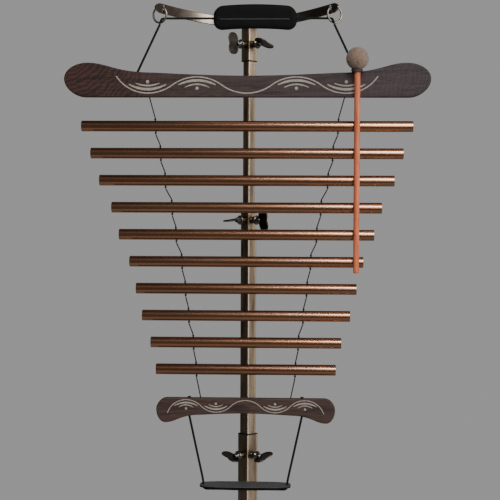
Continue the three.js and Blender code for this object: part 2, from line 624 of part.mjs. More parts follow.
// One rung's cord: from the knot above, slanting in to a knot, through the tube, to the knot below it
function rungCord(index, side) {
  const [above, below] = [side * (nodeX(index) + CORD_LEAN), side * (nodeX(index) - CORD_LEAN)];
  const top = tubeZ(index) + knotSeat;
  const bottom = tubeZ(index) - knotSeat;
  const first = index === 0;
  const startX = side * (first ? UPPER_LADDER_AT : nodeX(index - 1) - CORD_LEAN);
  const startZ = first ? upperYokeZ : tubeZ(index - 1) - knotSeat - KNOT_LENGTH - GAP;
  const station = (x, z, diameter) => ({ at: point(x, chimeY, z), diameter });
  const fullest = KNOT_FULL.map((share) => share * KNOT_LENGTH);
  return cordSolid([
    ...(first ? [station(startX, startZ + THIN_CORD_DEPTH, THIN_CORD)] : []),
    station(startX, startZ, THIN_CORD),
    station(startX, startZ - CORD_LEAD, THIN_CORD),
    station(above, top + KNOT_LENGTH, THIN_CORD),
    ...[...fullest].reverse().map((h) => station(above, top + h, KNOT_DIAMETER)),
    station(above, top, THIN_CORD),
    station(below, bottom, THIN_CORD),
    ...fullest.map((h) => station(below, bottom - h, KNOT_DIAMETER)),
    station(below, bottom - KNOT_LENGTH, THIN_CORD),
  ]);
}

const numbered = (index) => String(index + 1).padStart(2, '0');

SCALE_SEMITONES.forEach((_, index) => {
  add(`chime_tube_${numbered(index)}`, chimeTube(index), bronze());
  SIDES.forEach(([name, side]) => {
    add(`${name}_cord_${numbered(index)}`, rungCord(index, side), cordBlack());
  });
});

// Lower yoke: hangs from the last tube, and carries the lower grip's thick cord by two knots on its top
function lowerYoke() {
  const plank = uprightPlate(yokeShape(LOWER_YOKE, -1), YOKE_THICKNESS, YOKE_EDGE_ROUND, chimeY);
  plank.translate(0, 0, lowerYokeZ);
  const drills = SIDES.flatMap(([, side]) => [
    rod(point(side * LOWER_CORD_AT, chimeY, lowerYokeZ + CUT_PAST),
      point(side * LOWER_CORD_AT, chimeY, lowerCordZ - THICK_CORD_HOLE), THICK_CORD_HOLE, BORE_SIDES),
    ladderHole(side * LOWER_LADDER_AT, lowerYokeZ, -1),
  ]);
  return cut(plank, ...drills);
}

add('lower_yoke', lowerYoke(), redWood());

SIDES.forEach(([name, side]) => {
  const lastTube = SCALE_SEMITONES.length - 1;
  const topX = side * (nodeX(lastTube) - CORD_LEAN);
  const topZ = tubeZ(lastTube) - knotSeat - KNOT_LENGTH - GAP;
  const strand = [
    point(topX, chimeY, topZ),
    point(topX, chimeY, topZ - CORD_LEAD),
    point(side * LOWER_LADDER_AT, chimeY, lowerYokeZ),
    point(side * LOWER_LADDER_AT, chimeY, lowerYokeZ - THIN_CORD_DEPTH),
  ];
  add(`${name}_cord_${numbered(lastTube + 1)}`, evenCord(strand, THIN_CORD), cordBlack());
  const knotZ = lowerYokeZ + GAP;
  const knot = [
    [-THICK_CORD_DEPTH, THICK_CORD],
    [0, THICK_CORD],
    ...KNOT_FULL.map((share) => [share * THICK_KNOT_LENGTH, THICK_KNOT_DIAMETER]),
    [THICK_KNOT_LENGTH, THICK_CORD],
  ];
  const stations = knot.map(([h, diameter]) => (
    { at: point(side * LOWER_CORD_AT, chimeY, knotZ + h), diameter }));
  add(`lower_knot_${name}`, cordSolid(stations), cordBlack());
});

// Lower grip: a leather plate lying in the loop of the lower cord, which passes down through its thin end tabs
const lowerHoleX = LOWER_GRIP.length / 2 - LOWER_GRIP.holeInset;
const lowerGripZ = lowerCordZ - LOWER_CORD_DROP;
const lowerRunZ = lowerGripZ - LOWER_GRIP.thickness / 2 - THICK_CORD / 2 - GAP;

function lowerCordPoints() {
  const bendZ = lowerGripZ + LOWER_GRIP.thickness / 2 + LOWER_CORD_BEND;
  const end = [
    point(lowerHoleX - 2 * LOWER_CORD_BEND, chimeY, lowerRunZ),
    point(lowerHoleX - 0.62 * LOWER_CORD_BEND, chimeY, lowerRunZ),
    point(lowerHoleX - 0.16 * LOWER_CORD_BEND, chimeY, lowerRunZ + 0.25 * LOWER_CORD_BEND),
    point(lowerHoleX, chimeY, lowerGripZ),
    point(lowerHoleX + 0.1 * LOWER_CORD_BEND, chimeY, bendZ),
    point((lowerHoleX + LOWER_CORD_AT) / 2, chimeY, (bendZ + lowerCordZ) / 2),
    point(LOWER_CORD_AT, chimeY, lowerCordZ),
    point(LOWER_CORD_AT, chimeY, lowerCordZ + THICK_CORD_HINGE_DEPTH),
  ];
  return [...end.map(mirrored).reverse(), ...end];
}

function lowerGrip() {
  const { length, depth, thickness, edgeRound, tabThickness, cornerRun, cornerRound } = LOWER_GRIP;
  const [x, y] = [length / 2, depth / 2];
  const plan = new THREE.Shape();
  plan.moveTo(-x + cornerRun, -y);
  plan.lineTo(x - cornerRun, -y);
  plan.quadraticCurveTo(x, -y, x, -y + cornerRound);
  plan.lineTo(x, y - cornerRound);
  plan.quadraticCurveTo(x, y, x - cornerRun, y);
  plan.lineTo(-x + cornerRun, y);
  plan.quadraticCurveTo(-x, y, -x, y - cornerRound);
  plan.lineTo(-x, -y + cornerRound);
  plan.quadraticCurveTo(-x, -y, -x + cornerRun, -y);
  const plate = new THREE.ExtrudeGeometry(plan, {
    depth: thickness - 2 * edgeRound, bevelThickness: edgeRound, bevelSize: edgeRound, bevelOffset: -edgeRound,
    bevelSegments: 2, curveSegments: EDGE_STEPS,
  });
  plate.translate(0, chimeY, lowerGripZ - thickness / 2 + edgeRound);
  const top = lowerGripZ + thickness / 2;
  const side = new THREE.Shape();
  side.moveTo(-x, top - tabThickness);
  side.quadraticCurveTo(0, top - 2 * thickness + tabThickness, x, top - tabThickness);
  side.lineTo(x, top + CUT_PAST);
  side.lineTo(-x, top + CUT_PAST);
  const bowed = common(plate, uprightPlate(side, depth + 2 * CUT_PAST, 0, chimeY));
  return cut(bowed, evenCord(lowerCordPoints(), THICK_CORD_SLEEVE));
}

add('lower_cord', evenCord(lowerCordPoints(), THICK_CORD), cordBlack());
add('lower_grip', lowerGrip(), leather());

// Mallet: hangs by its head in a rubber link that is threaded on the right-hand cord
const malletY = chimeY - TUBE_DIAMETER / 2 - HANDLE_TO_TUBE - HANDLE_DIAMETER / 2;
const linkHalf = LINK_WIDTH / 2;
const yokeUnderLink = Math.max(yokeDepthAt(UPPER_YOKE, UPPER_CORD_AT + linkHalf),
  yokeDepthAt(UPPER_YOKE, UPPER_CORD_AT - linkHalf));
const linkBottom = upperYokeZ + yokeUnderLink + GAP;
const linkTop = linkBottom + LINK_THICKNESS;
const headSeat = linkTop - LINK_DROOP;

function malletLink() {
  const plan = new THREE.Shape();
  plan.absarc(UPPER_CORD_AT, chimeY, linkHalf, 0, Math.PI, false);
  plan.absarc(UPPER_CORD_AT, malletY, linkHalf, Math.PI, 2 * Math.PI, false);
  const body = new THREE.ExtrudeGeometry(plan, {
    depth: LINK_THICKNESS + LINK_DROOP, bevelEnabled: false, curveSegments: DRILL_SIDES,
  });
  body.translate(0, 0, linkBottom - LINK_DROOP);
  const [rear, bend] = [chimeY + LINK_WIDTH, chimeY - linkHalf];
  const [fold, front] = [malletY + linkHalf, malletY - LINK_WIDTH];
  const side = new THREE.Shape();
  side.moveTo(rear, linkBottom);
  side.lineTo(rear, linkTop);
  side.lineTo(bend, linkTop);
  side.lineTo(fold, headSeat);
  side.lineTo(front, headSeat);
  side.lineTo(front, headSeat - LINK_THICKNESS);
  side.lineTo(fold, headSeat - LINK_THICKNESS);
  side.lineTo(bend, linkBottom);
  const drooped = new THREE.ExtrudeGeometry(side, { depth: 2 * LINK_WIDTH, bevelEnabled: false });
  drooped.rotateX(Math.PI / 2).rotateZ(Math.PI / 2).translate(UPPER_CORD_AT - LINK_WIDTH, 0, 0);
  const along = (h) => dropFoot.clone().addScaledVector(dropWay, h);
  const cordHole = rod(along(-4 * LINK_THICKNESS), along(LINK_THICKNESS), THICK_CORD_SLEEVE, BORE_SIDES);
  const handleHole = rod(point(UPPER_CORD_AT, malletY, headSeat - 2 * LINK_THICKNESS),
    point(UPPER_CORD_AT, malletY, linkTop + CUT_PAST), HANDLE_DIAMETER + 2 * GAP, TUBE_SIDES);
  return cut(common(body, drooped), cordHole, handleHole);
}

// Turned pieces are drawn as radius and height above the foot of the head
function turned(profile, segments) {
  const geometry = new THREE.LatheGeometry(profile.map(([r, h]) => new THREE.Vector2(r, h)), segments);
  return geometry.rotateX(Math.PI / 2).translate(UPPER_CORD_AT, malletY, headSeat + GAP);
}

function malletHead() {
  const radius = MALLET_DIAMETER / 2;
  const bore = HANDLE_DIAMETER / 2 + GAP;
  const flat = MALLET_FLAT / 2;
  const rise = Math.sqrt(radius ** 2 - flat ** 2);
  const start = -Math.acos(flat / radius);
  const arc = Array.from({ length: BALL_STEPS + 1 }, (_, i) => {
    const turn = start + ((Math.PI / 2 - start) * i) / BALL_STEPS;
    return [i === BALL_STEPS ? 0 : radius * Math.cos(turn), rise + radius * Math.sin(turn)];
  });
  return turned([[0, HANDLE_IN_HEAD + GAP], [bore, HANDLE_IN_HEAD + GAP], [bore, 0], ...arc], TUBE_SIDES);
}

function malletHandle() {
  const radius = HANDLE_DIAMETER / 2;
  const bottom = HANDLE_IN_HEAD - HANDLE_LENGTH;
  const corner = HANDLE_END_ROUND * (1 - Math.SQRT1_2);
  return turned([[0, bottom], [radius - HANDLE_END_ROUND, bottom], [radius - corner, bottom + corner],
    [radius, bottom + HANDLE_END_ROUND], [radius, HANDLE_IN_HEAD], [0, HANDLE_IN_HEAD]], HUB_SIDES);
}

add('mallet_link', malletLink(), rubber());
add('mallet_handle', malletHandle(), handleWood());
add('mallet_head', malletHead(), felt());

export default chime;
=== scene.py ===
"""Looks of a hanging tube chime on its stand: finishes, cords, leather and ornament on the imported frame.

Sizes are written in millimetres, as in the part's source, and become metres when a piece is made.
"""

import json
from math import acos, copysign, cos, exp, pi, radians, sin, sqrt

import bpy
from mathutils import Matrix, Quaternion, Vector, noise

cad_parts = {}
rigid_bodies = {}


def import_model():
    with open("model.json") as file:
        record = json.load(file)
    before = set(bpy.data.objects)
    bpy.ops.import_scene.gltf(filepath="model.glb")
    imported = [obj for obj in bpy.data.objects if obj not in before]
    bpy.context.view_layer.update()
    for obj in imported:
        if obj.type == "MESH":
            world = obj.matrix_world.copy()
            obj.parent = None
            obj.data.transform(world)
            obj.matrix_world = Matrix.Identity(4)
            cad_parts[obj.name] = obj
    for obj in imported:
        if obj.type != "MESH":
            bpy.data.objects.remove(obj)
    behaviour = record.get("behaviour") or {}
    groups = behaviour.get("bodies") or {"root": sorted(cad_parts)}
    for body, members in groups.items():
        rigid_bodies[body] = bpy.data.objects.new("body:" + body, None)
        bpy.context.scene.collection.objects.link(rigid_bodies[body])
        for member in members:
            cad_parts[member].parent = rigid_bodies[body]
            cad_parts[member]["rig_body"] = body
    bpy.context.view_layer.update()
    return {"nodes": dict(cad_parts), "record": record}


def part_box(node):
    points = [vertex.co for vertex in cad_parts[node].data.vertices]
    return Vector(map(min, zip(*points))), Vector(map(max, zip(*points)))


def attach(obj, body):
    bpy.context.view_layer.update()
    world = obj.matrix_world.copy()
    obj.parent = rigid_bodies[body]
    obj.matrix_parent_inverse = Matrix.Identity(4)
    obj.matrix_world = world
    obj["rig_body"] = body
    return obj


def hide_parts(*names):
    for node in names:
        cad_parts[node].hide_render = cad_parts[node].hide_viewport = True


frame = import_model()

MM = 0.001
SIDES = (("left", -1), ("right", 1))
TUBES = [f"{i:02d}" for i in range(1, 11)]


def centre(node):
    """The middle of a CAD node's box, in millimetres."""
    low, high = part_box(node)
    return (low + high) / 2 / MM


def extent(node):
    """The size of a CAD node's box, in millimetres."""
    low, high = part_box(node)
    return (high - low) / MM


def foot_of(node):
    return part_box(node)[0].z / MM


def top_of(node):
    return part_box(node)[1].z / MM


# Camera: as far away and as high as the photograph's, with its slight turn and pitch
PHOTO_SIDE = 500
FOCAL_PIXELS = 1309
SENSOR = 36
CAMERA_AT = Vector((90, -2397, 852))
CAMERA_YAW = 0.0364
CAMERA_PITCH = radians(2)
CAMERA_ROLL = 0.004

camera_data = bpy.data.cameras.new("camera")
camera_data.sensor_width = SENSOR
camera_data.lens = SENSOR * FOCAL_PIXELS / PHOTO_SIDE
camera = bpy.data.objects.new("camera", camera_data)
bpy.context.scene.collection.objects.link(camera)
bpy.context.scene.camera = camera
camera.matrix_world = (
    Matrix.Translation(CAMERA_AT * MM)
    @ Matrix.Rotation(CAMERA_YAW, 4, "Z")
    @ Matrix.Rotation(pi / 2 - CAMERA_PITCH, 4, "X")
    @ Matrix.Rotation(CAMERA_ROLL, 4, "Z")
)


# Materials: every finish is grown from noise in the object's own space

def rgba(colour):
    """Blender's colour for a grey of 0 to 1 or an sRGB triple of 0 to 255. One with four parts stays."""
    def step(value):
        share = value / 255
        return share / 12.92 if share <= 0.04045 else ((share + 0.055) / 1.055) ** 2.4
    if isinstance(colour, (int, float)):
        return (colour, colour, colour, 1)
    return (*map(step, colour), 1) if len(colour) == 3 else colour


class Nodes:
    """The node tree of a material or a world, with short ways to add to it."""

    def __init__(self, owner):
        owner.use_nodes = True
        self.tree = owner.node_tree

    def feed(self, socket, source):
        """Links a socket to another one, or sets it to a plain value."""
        if isinstance(source, bpy.types.NodeSocket):
            self.tree.links.new(source, socket)
        else:
            socket.default_value = source

    def add(self, kind, inputs=None, **settings):
        node = self.tree.nodes.new(kind)
        for key, value in settings.items():
            setattr(node, key, value)
        for socket, source in (inputs or {}).items():
            self.feed(node.inputs[socket], source)
        return node

    def ramp(self, source, *stops):
        """Colours at places from 0 to 1, given as (place, colour)."""
        made = self.add("ShaderNodeValToRGB", {"Fac": source})
        elements = made.color_ramp.elements
        while len(elements) < len(stops):
            elements.new(0.5)
        for element, (at, colour) in zip(elements, stops):
            element.position = at
            element.color = rgba(colour)
        return made.outputs["Color"]

    def between(self, source, *limits):
        """A factor from a value: limits are the result's least and most, then the value's own at these."""
        names = ("To Min", "To Max", "From Min", "From Max")
        return self.add("ShaderNodeMapRange", {"Value": source, **dict(zip(names, limits))}).outputs["Result"]

    def mix(self, factor, first, second, blend="MIX"):
        second = rgba(second) if isinstance(second, tuple) else second
        inputs = {"Fac": factor, "Color1": first, "Color2": second}
        return self.add("ShaderNodeMixRGB", inputs, blend_type=blend).outputs["Color"]


class Finish(Nodes):
    """A material with a Principled shader."""

    def __init__(self, name, **sockets):
        self.material = bpy.data.materials.new(name)
        super().__init__(self.material)
        self.inputs = self.tree.nodes["Principled BSDF"].inputs
        for socket, value in sockets.items():
            self.inputs[socket.replace("_", " ")].default_value = value
        self.place = self.add("ShaderNodeTexCoord").outputs["Object"]

    def noise(self, stretch, detail=4, roughness=0.55, distortion=0.0):
        """Noise with this many features per metre, or as many along X, Y and Z as three numbers say."""
        stretch = [stretch] * 3 if isinstance(stretch, int) else stretch
        scaled = self.add("ShaderNodeMapping", {"Vector": self.place, "Scale": stretch})
        return self.add("ShaderNodeTexNoise", {
            "Vector": scaled.outputs["Vector"], "Scale": 1.0, "Detail": detail, "Roughness": roughness,
            "Distortion": distortion,
        }).outputs["Fac"]

    def bump(self, source, strength, distance):
        """Raises the surface by distance metres where source is 1, on top of any bump made before."""
        inputs = {"Height": source, "Strength": strength, "Distance": distance}
        if self.inputs["Normal"].links:
            inputs["Normal"] = self.inputs["Normal"].links[0].from_socket
        self.feed(self.inputs["Normal"], self.add("ShaderNodeBump", inputs).outputs["Normal"])

    def colour(self, source):
        self.feed(self.inputs["Base Color"], source)

    def rough(self, source, least, most):
        self.feed(self.inputs["Roughness"], self.between(source, least, most))

    def along(self, axis):
        return self.add("ShaderNodeSeparateXYZ", {"Vector": self.place}).outputs[axis]

    def edges(self):
        """A factor that is 1 on sharp outer edges and ridges."""
        return self.between(self.add("ShaderNodeNewGeometry").outputs["Pointiness"], 0.0, 1.0, 0.52, 0.6)

    def corners(self):
        """A factor that is high on the four corners of a square mast about Z and fades across its faces: the
        mask of a painted highlight along them.
        """
        away = [self.add("ShaderNodeMath", {0: self.along(axis)}, operation="ABSOLUTE") for axis in "XY"]
        near = self.add("ShaderNodeMath", {i: a.outputs[0] for i, a in enumerate(away)}, operation="MINIMUM")
        return self.between(near.outputs[0], 0.85, 0.0, 0.0003, 0.0035)


def metal(name, dark, light, roughness, streaks, blotches, bump=0.0, worn=None, faint=0.78, vary=0.07,
          corners=None):
    """Drawn or plated metal: fine streaks over slow blotches of the plating."""
    made = Finish(name, Metallic=1.0)
    fine = made.noise(streaks, detail=3)
    slow = made.noise(blotches, detail=5, distortion=0.4)
    base = made.ramp(slow, (0.3, dark), (0.7, light))
    base = made.mix(1.0, base, made.ramp(fine, (0.25, faint), (0.75, 1)), "MULTIPLY")
    if worn:
        base = made.mix(made.edges(), base, worn)
    # corners is a lighter colour painted along a mast's corners as their highlight
    if corners:
        base = made.mix(made.corners(), base, corners)
    made.colour(base)
    made.rough(fine, roughness - vary, roughness + vary)
    if bump:
        made.bump(fine, bump, 0.0001)
    return made.material


def wood(name, dark, light, pore, along, ends=None, curl=None):
    """Planed wood with its grain along one axis, figure across it and fine open pores.

    ends tints a plank's two ends along X; the right end's greyer, lighter tint is partly painted sheen and
    partly the wood's own tone. curl is the point that the rings of such a plank run about.
    """
    made = Finish(name, Specular_IOR_Level=0.3)

    def grain(across, lengthwise, **settings):
        stretch = [across] * 3
        stretch[along] = lengthwise
        return made.noise(stretch, **settings)

    figure = grain(90, 9, detail=6, roughness=0.6, distortion=0.9)
    pores = grain(1500, 42, detail=2, roughness=0.5)
    fibre = grain(420, 14, detail=3)
    base = made.ramp(figure, (0.3, dark), (0.52, light), (0.74, dark))
    base = made.mix(1.0, base, made.ramp(fibre, (0.3, 0.7), (0.7, 1)), "MULTIPLY")
    # A tint towards each end: the right end's greyer, lighter tint is partly painted sheen, partly the wood's
    # tone
    if ends:
        reach = made.between(made.along("X"), 0.0, 1.0, -0.32, 0.32)
        ends_tone_and_sheen = made.ramp(reach, (0.0, ends[0]), (0.45, 1), (1.0, ends[1]))
        base = made.mix(1.0, base, ends_tone_and_sheen, "MULTIPLY")
    if curl:
        about = made.add("ShaderNodeMapping", {"Vector": made.place, "Location": -curl})
        bands = made.add("ShaderNodeTexWave", {
            "Vector": about.outputs["Vector"], "Scale": 38.0, "Distortion": 15.0, "Detail": 5.0,
            "Detail Scale": 0.6, "Detail Roughness": 0.6,
        }, wave_type="RINGS", rings_direction="Y")
        lines = made.ramp(bands.outputs["Fac"], (0.1, (0.4, 0.36, 0.36, 1)), (0.6, (1.2, 1.1, 1.04, 1)))
        share = made.ramp(reach, (0.0, 0.9), (0.16, 0.9), (0.25, 0.3), (0.32, 0.12), (0.75, 0.15), (1.0, 0.4))
        base = made.mix(share, base, made.mix(1.0, base, lines, "MULTIPLY"))
    made.colour(made.mix(made.ramp(pores, (0.3, 1), (0.42, 0)), base, pore))
    made.rough(fibre, 0.45, 0.65)
    made.bump(fibre, 0.25, 0.0002)
    made.bump(pores, 0.35, 0.0002)
    return made.material


def leather(name, dark, light, worn, gloss, shine):
    """Black hide: small pebbled cells, darker creases and a dry sheen."""
    made = Finish(name, Specular_IOR_Level=shine)
    cells = made.add("ShaderNodeTexVoronoi", {"Vector": made.place, "Scale": 900.0})
    creases = made.noise(160, detail=6, roughness=0.65)
    # The worn colour lightens edges and ridges: partly wear, partly a painted highlight along the grip's lip
    # and rim
    made.colour(made.mix(made.edges(), made.ramp(creases, (0.3, dark), (0.7, light)), worn))
    made.rough(creases, gloss, gloss + 0.26)
    made.bump(cells.outputs["Distance"], 0.35, 0.0003)
    made.bump(creases, 0.25, 0.0006)
    return made.material


def soft(name, dark, light, speckle, fuzz, sheen=0.0, layers=1):
    """Felt, rubber or cord: a matt surface with speckles and a fine nap."""
    made = Finish(name, Specular_IOR_Level=0.25, Sheen_Weight=sheen)
    slow = made.noise((speckle, speckle, speckle * layers), detail=6, roughness=0.7)
    fine = made.noise(fuzz, detail=3, roughness=0.8)
    base = made.ramp(slow, (0.32, dark), (0.66, light))
    made.colour(made.mix(1.0, base, made.ramp(fine, (0.3, 0.72), (0.7, 1)), "MULTIPLY"))
    made.rough(fine, 0.78, 0.98)
    made.bump(fine, 0.5, 0.0005)
    return made.material


BRONZE = metal("bronze_tube", (156, 112, 86), (172, 126, 98), 0.18, (9, 1400, 1400), (5, 24, 24),
               faint=0.94, vary=0.02)
# The plated masts get a painted highlight along their corners, in the corners colour
PLATED = metal("plated_steel", (84, 72, 60), (176, 154, 130), 0.34, (700, 700, 12), (70, 70, 11), 0.08,
               corners=(186, 168, 144))
BOW_METAL = metal("brushed_bow", (108, 95, 83), (164, 149, 134), 0.16, (30, 30, 900), (20, 20, 20), vary=0.03)
NICKEL = metal("nickel_ring", (128, 116, 102), (176, 164, 148), 0.36, 300, 60, vary=0.02)
GUNMETAL = metal("cast_gunmetal", (44, 40, 36), (68, 62, 56), 0.34, 260, 70, 0.2, worn=(140, 128, 114))
CHROME = metal("chrome_hub", (80, 78, 76), (136, 134, 132), 0.2, 260, 70, 0.02, vary=0.03)
BRASS = metal("brass_boss", (70, 58, 40), (102, 86, 58), 0.32, 400, 80, 0.1)
BLACKED = metal("blacked_foot", (40, 37, 35), (62, 57, 53), 0.45, 500, 24, 0.3, worn=(104, 96, 88))
# The dark wood's right end is tinted greyer and lighter: partly painted sheen, partly its own tone
DARK_WOOD = wood("dark_wood", (30, 22, 21), (68, 53, 50), (16, 11, 10), 0,
                 ends=((255, 200, 172), (254, 260, 288)),
                 curl=Vector((-348, 0, foot_of("upper_yoke") + 116)) * MM)
RED_WOOD = wood("red_wood", (48, 34, 30), (78, 57, 50), (26, 18, 15), 0)
HANDLE_WOOD = wood("handle_wood", (196, 96, 62), (228, 126, 86), (140, 60, 38), 2)
# Its lighter edge colour is partly wear and partly a painted highlight on the pad's lip and rim
LEATHER = leather("black_leather", (5, 5, 6), (13, 13, 14), (36, 35, 34), 0.52, 0.1)
# A grey copy of the black hide: its grey is painted sheen, on the lower grip's top and the upper grip's welt
SHEEN_PAINTED_LEATHER = leather("painted_sheen_leather", (45, 46, 48), (75, 76, 79), (80, 80, 80), 0.38, 0.6)
CORD = soft("black_cord", (6, 6, 7), (15, 15, 16), 900, 2600, 0.05)
FELT = soft("cork_felt", (98, 78, 66), (156, 132, 116), 180, 1500, 0.25, layers=5)
RUBBER = soft("grey_rubber", (46, 46, 45), (76, 76, 74), 300, 1600)
BLACK_RUBBER = soft("black_rubber", (18, 18, 18), (36, 36, 36), 300, 1600)
INLAY = soft("cream_inlay", (140, 132, 122), (180, 172, 161), 260, 1400)


# Shapes are (points, faces) in millimetres until a piece is made of them

def joined(*shapes):
    points, faces = [], []
    for more_points, more_faces in shapes:
        start = len(points)
        points += more_points
        faces += [[start + i for i in face] for face in more_faces]
    return points, faces


def moved(shape, matrix):
    points, faces = shape
    return [matrix @ Vector(p) for p in points], faces


def shifted(shape, x, y, z):
    return moved(shape, Matrix.Translation((x, y, z)))


def loft(loops, closed=False, capped=False):
    """Quads between loops of points, where a loop of one point is a pole."""
    count = max(map(len, loops))
    points, rings, faces = [], [], []
    for loop in loops:
        start = len(points)
        points += loop
        rings.append(list(range(start, start + count)) if len(loop) > 1 else [start] * count)
    pairs = list(zip(rings, rings[1:]))
    if closed:
        pairs.append((rings[-1], rings[0]))
    for low, high in pairs:
        for k in range(count):
            n = (k + 1) % count
            face = list(dict.fromkeys([low[k], low[n], high[n], high[k]]))
            if len(face) > 2:
                faces.append(face)
    if capped:
        faces += [rings[0][::-1], rings[-1]]
    return points, faces


def circle(segments):
    """Points evenly round a circle of radius 1, as (x, y)."""
    turns = [2 * pi * k / segments for k in range(segments)]
    return [(cos(turn), sin(turn)) for turn in turns]


def lathe(profile, segments, closed=False):
    """Turns (radius, height) pairs about Z. A radius of 0 is a pole."""
    return loft([[Vector((radius * x, radius * y, height)) for x, y in circle(segments if radius else 1)]
                 for radius, height in profile], closed)


def along_curve(controls, step):
    """Evenly spaced points on a smooth curve through the control points."""
    fine = []
    ends = [controls[0] * 2 - controls[1], *controls, controls[-1] * 2 - controls[-2]]
    parts = 24
    for a, b, c, d in zip(ends, ends[1:], ends[2:], ends[3:]):
        for t in (i / parts for i in range(parts)):
            fine.append(0.5 * (2 * b + (c - a) * t + (2 * a - 5 * b + 4 * c - d) * t ** 2
                               + (3 * b - a - 3 * c + d) * t ** 3))
    fine.append(controls[-1])
    return evenly(fine, step)


def evenly(line, step):
    """Points about one step apart along a line of points."""
    lengths = [0.0]
    for a, b in zip(line, line[1:]):
        lengths.append(lengths[-1] + (b - a).length)
    count = max(2, round(lengths[-1] / step))
    points, k = [], 0
    for i in range(count + 1):
        goal = lengths[-1] * i / count
        while k < len(line) - 2 and lengths[k + 1] < goal:
            k += 1
        span = max(lengths[k + 1] - lengths[k], 1e-9)
        points.append(line[k].lerp(line[k + 1], min((goal - lengths[k]) / span, 1)))
    return points


def heading(path, i):
    """The way along a path at one of its points."""
    return (path[min(i + 1, len(path) - 1)] - path[max(i - 1, 0)]).normalized()


def swept(path, radius, sides, braid=0.0, pitch=4.0):
    """A closed tube along a path, with the diagonal ridges of a braid raised by a share of its radius."""
    loops, run = [], 0.0
    side = heading(path, 0).orthogonal().normalized()
    for i, at in enumerate(path):
        way = heading(path, i)
        side = (side - way * side.dot(way)).normalized()
        over = way.cross(side)
        run += (at - path[i - 1]).length if i else 0.0
        phase = pi * run / pitch
        loop = []
        for turn in (2 * pi * k / sides for k in range(sides)):
            ridge = max(abs(cos(1.5 * turn + phase)), abs(cos(1.5 * turn - phase))) - 1
            reach = radius * (1 + braid * ridge)
            loop.append(at + (side * cos(turn) + over * sin(turn)) * reach)
        loops.append(loop)
    return loft(loops, capped=True)


def inset(outline, distance):
    """A closed outline moved inwards along its corners' middles, for outlines that run anticlockwise."""
    result = []
    for i, at in enumerate(outline):
        before = (at - outline[i - 1]).normalized()
        after = (outline[(i + 1) % len(outline)] - at).normalized()
        way = (before + after).normalized()
        inward = Vector((-way.y, way.x))
        lean = max(inward.dot(Vector((-after.y, after.x))), 0.5)
        result.append(at + inward * (distance / lean))
    return result


def quarter(steps):
    """The angles of a quarter turn, both ends included."""
    return [pi / 2 * i / steps for i in range(steps + 1)]


def stacked(outline, thickness, edge, steps, face):
    """A flat outline made solid about Z = 0. Its faces inside the rounded edge are levels (inset, depth)."""
    half = thickness / 2
    levels = [(away, half - depth) for away, depth in face]
    levels += [(edge * (1 - sin(t)), half - edge * (1 - cos(t))) for t in quarter(steps)]
    levels += [(away, -height) for away, height in reversed(levels)]
    return loft([[Vector((*p, height)) for p in inset(outline, away)] for away, height in reversed(levels)],
                capped=True)


def slab(outline, thickness, edge, steps=3):
    """A flat outline made solid, with a narrow flat border inside its rounded edges."""
    border = 0.4
    return stacked(outline, thickness, edge, steps, [(edge + border, 0)])


def curved(curves, steps):
    """Points along cubic curves that follow each other, without the first."""
    shares = [i / steps for i in range(1, steps + 1)]
    return [a * (1 - t) ** 3 + b * 3 * t * (1 - t) ** 2 + c * 3 * t ** 2 * (1 - t) + d * t ** 3
            for a, b, c, d in (map(Vector, curve) for curve in curves) for t in shares]


def rounded_box(width, depth, corner, steps=6):
    """An anticlockwise rectangle with round corners, about the origin."""
    outline = []
    for k, (sx, sy) in enumerate(((1, 1), (-1, 1), (-1, -1), (1, -1))):
        middle = Vector((sx * (width / 2 - corner), sy * (depth / 2 - corner)))
        for turn in (pi / 2 * k + t for t in quarter(steps)):
            outline.append(middle + Vector((cos(turn), sin(turn))) * corner)
    return outline


def shade(mesh, crease):
    """Smooth but for creases sharper than this many degrees."""
    mesh.polygons.foreach_set("use_smooth", [True] * len(mesh.polygons))
    mesh.set_sharp_from_angle(angle=radians(crease))
    mesh.update()


def placed(name, shape):
    """A new object in the scene, in metres."""
    points, faces = shape
    mesh = bpy.data.meshes.new(name)
    mesh.from_pydata([Vector(p) * MM for p in points], [], faces)
    mesh.validate()
    made = bpy.data.objects.new(name, mesh)
    bpy.context.scene.collection.objects.link(made)
    return made


CREASE = 38


def make(name, shape, material, body, crease=CREASE):
    """A piece of the scene that rides on a body."""
    made = placed(name, shape)
    made.data.materials.append(material)
    shade(made.data, crease)
    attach(made, body)
    return made


def body_of(node):
    return frame["nodes"][node]["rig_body"]


def stand_in(node, shape, material, crease=CREASE):
    """A finer piece in the place of a CAD node, on the node's own body."""
    made = make(f"{node}_look", shape, material, body_of(node), crease)
    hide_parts(node)
    return made


def drilled(target, *drills):
    """Cuts round holes, each given as its two ends and its diameter."""
    for start, end, diameter in drills:
        way = end - start
        drill = lathe([(0, 0), (diameter / 2, 0), (diameter / 2, way.length), (0, way.length)], 24)
        turn = Vector((0, 0, 1)).rotation_difference(way).to_matrix().to_4x4()
        tool = placed("drill", moved(drill, Matrix.Translation(start) @ turn))
        mesh = tool.data
        modifier = target.modifiers.new("hole", "BOOLEAN")
        modifier.operation = "DIFFERENCE"
        modifier.solver = "EXACT"
        modifier.object = tool
        with bpy.context.temp_override(object=target, active_object=target, selected_objects=[target]):
            bpy.ops.object.modifier_apply(modifier="hole")
        bpy.data.objects.remove(tool)
        bpy.data.meshes.remove(mesh)
    shade(target.data, CREASE)


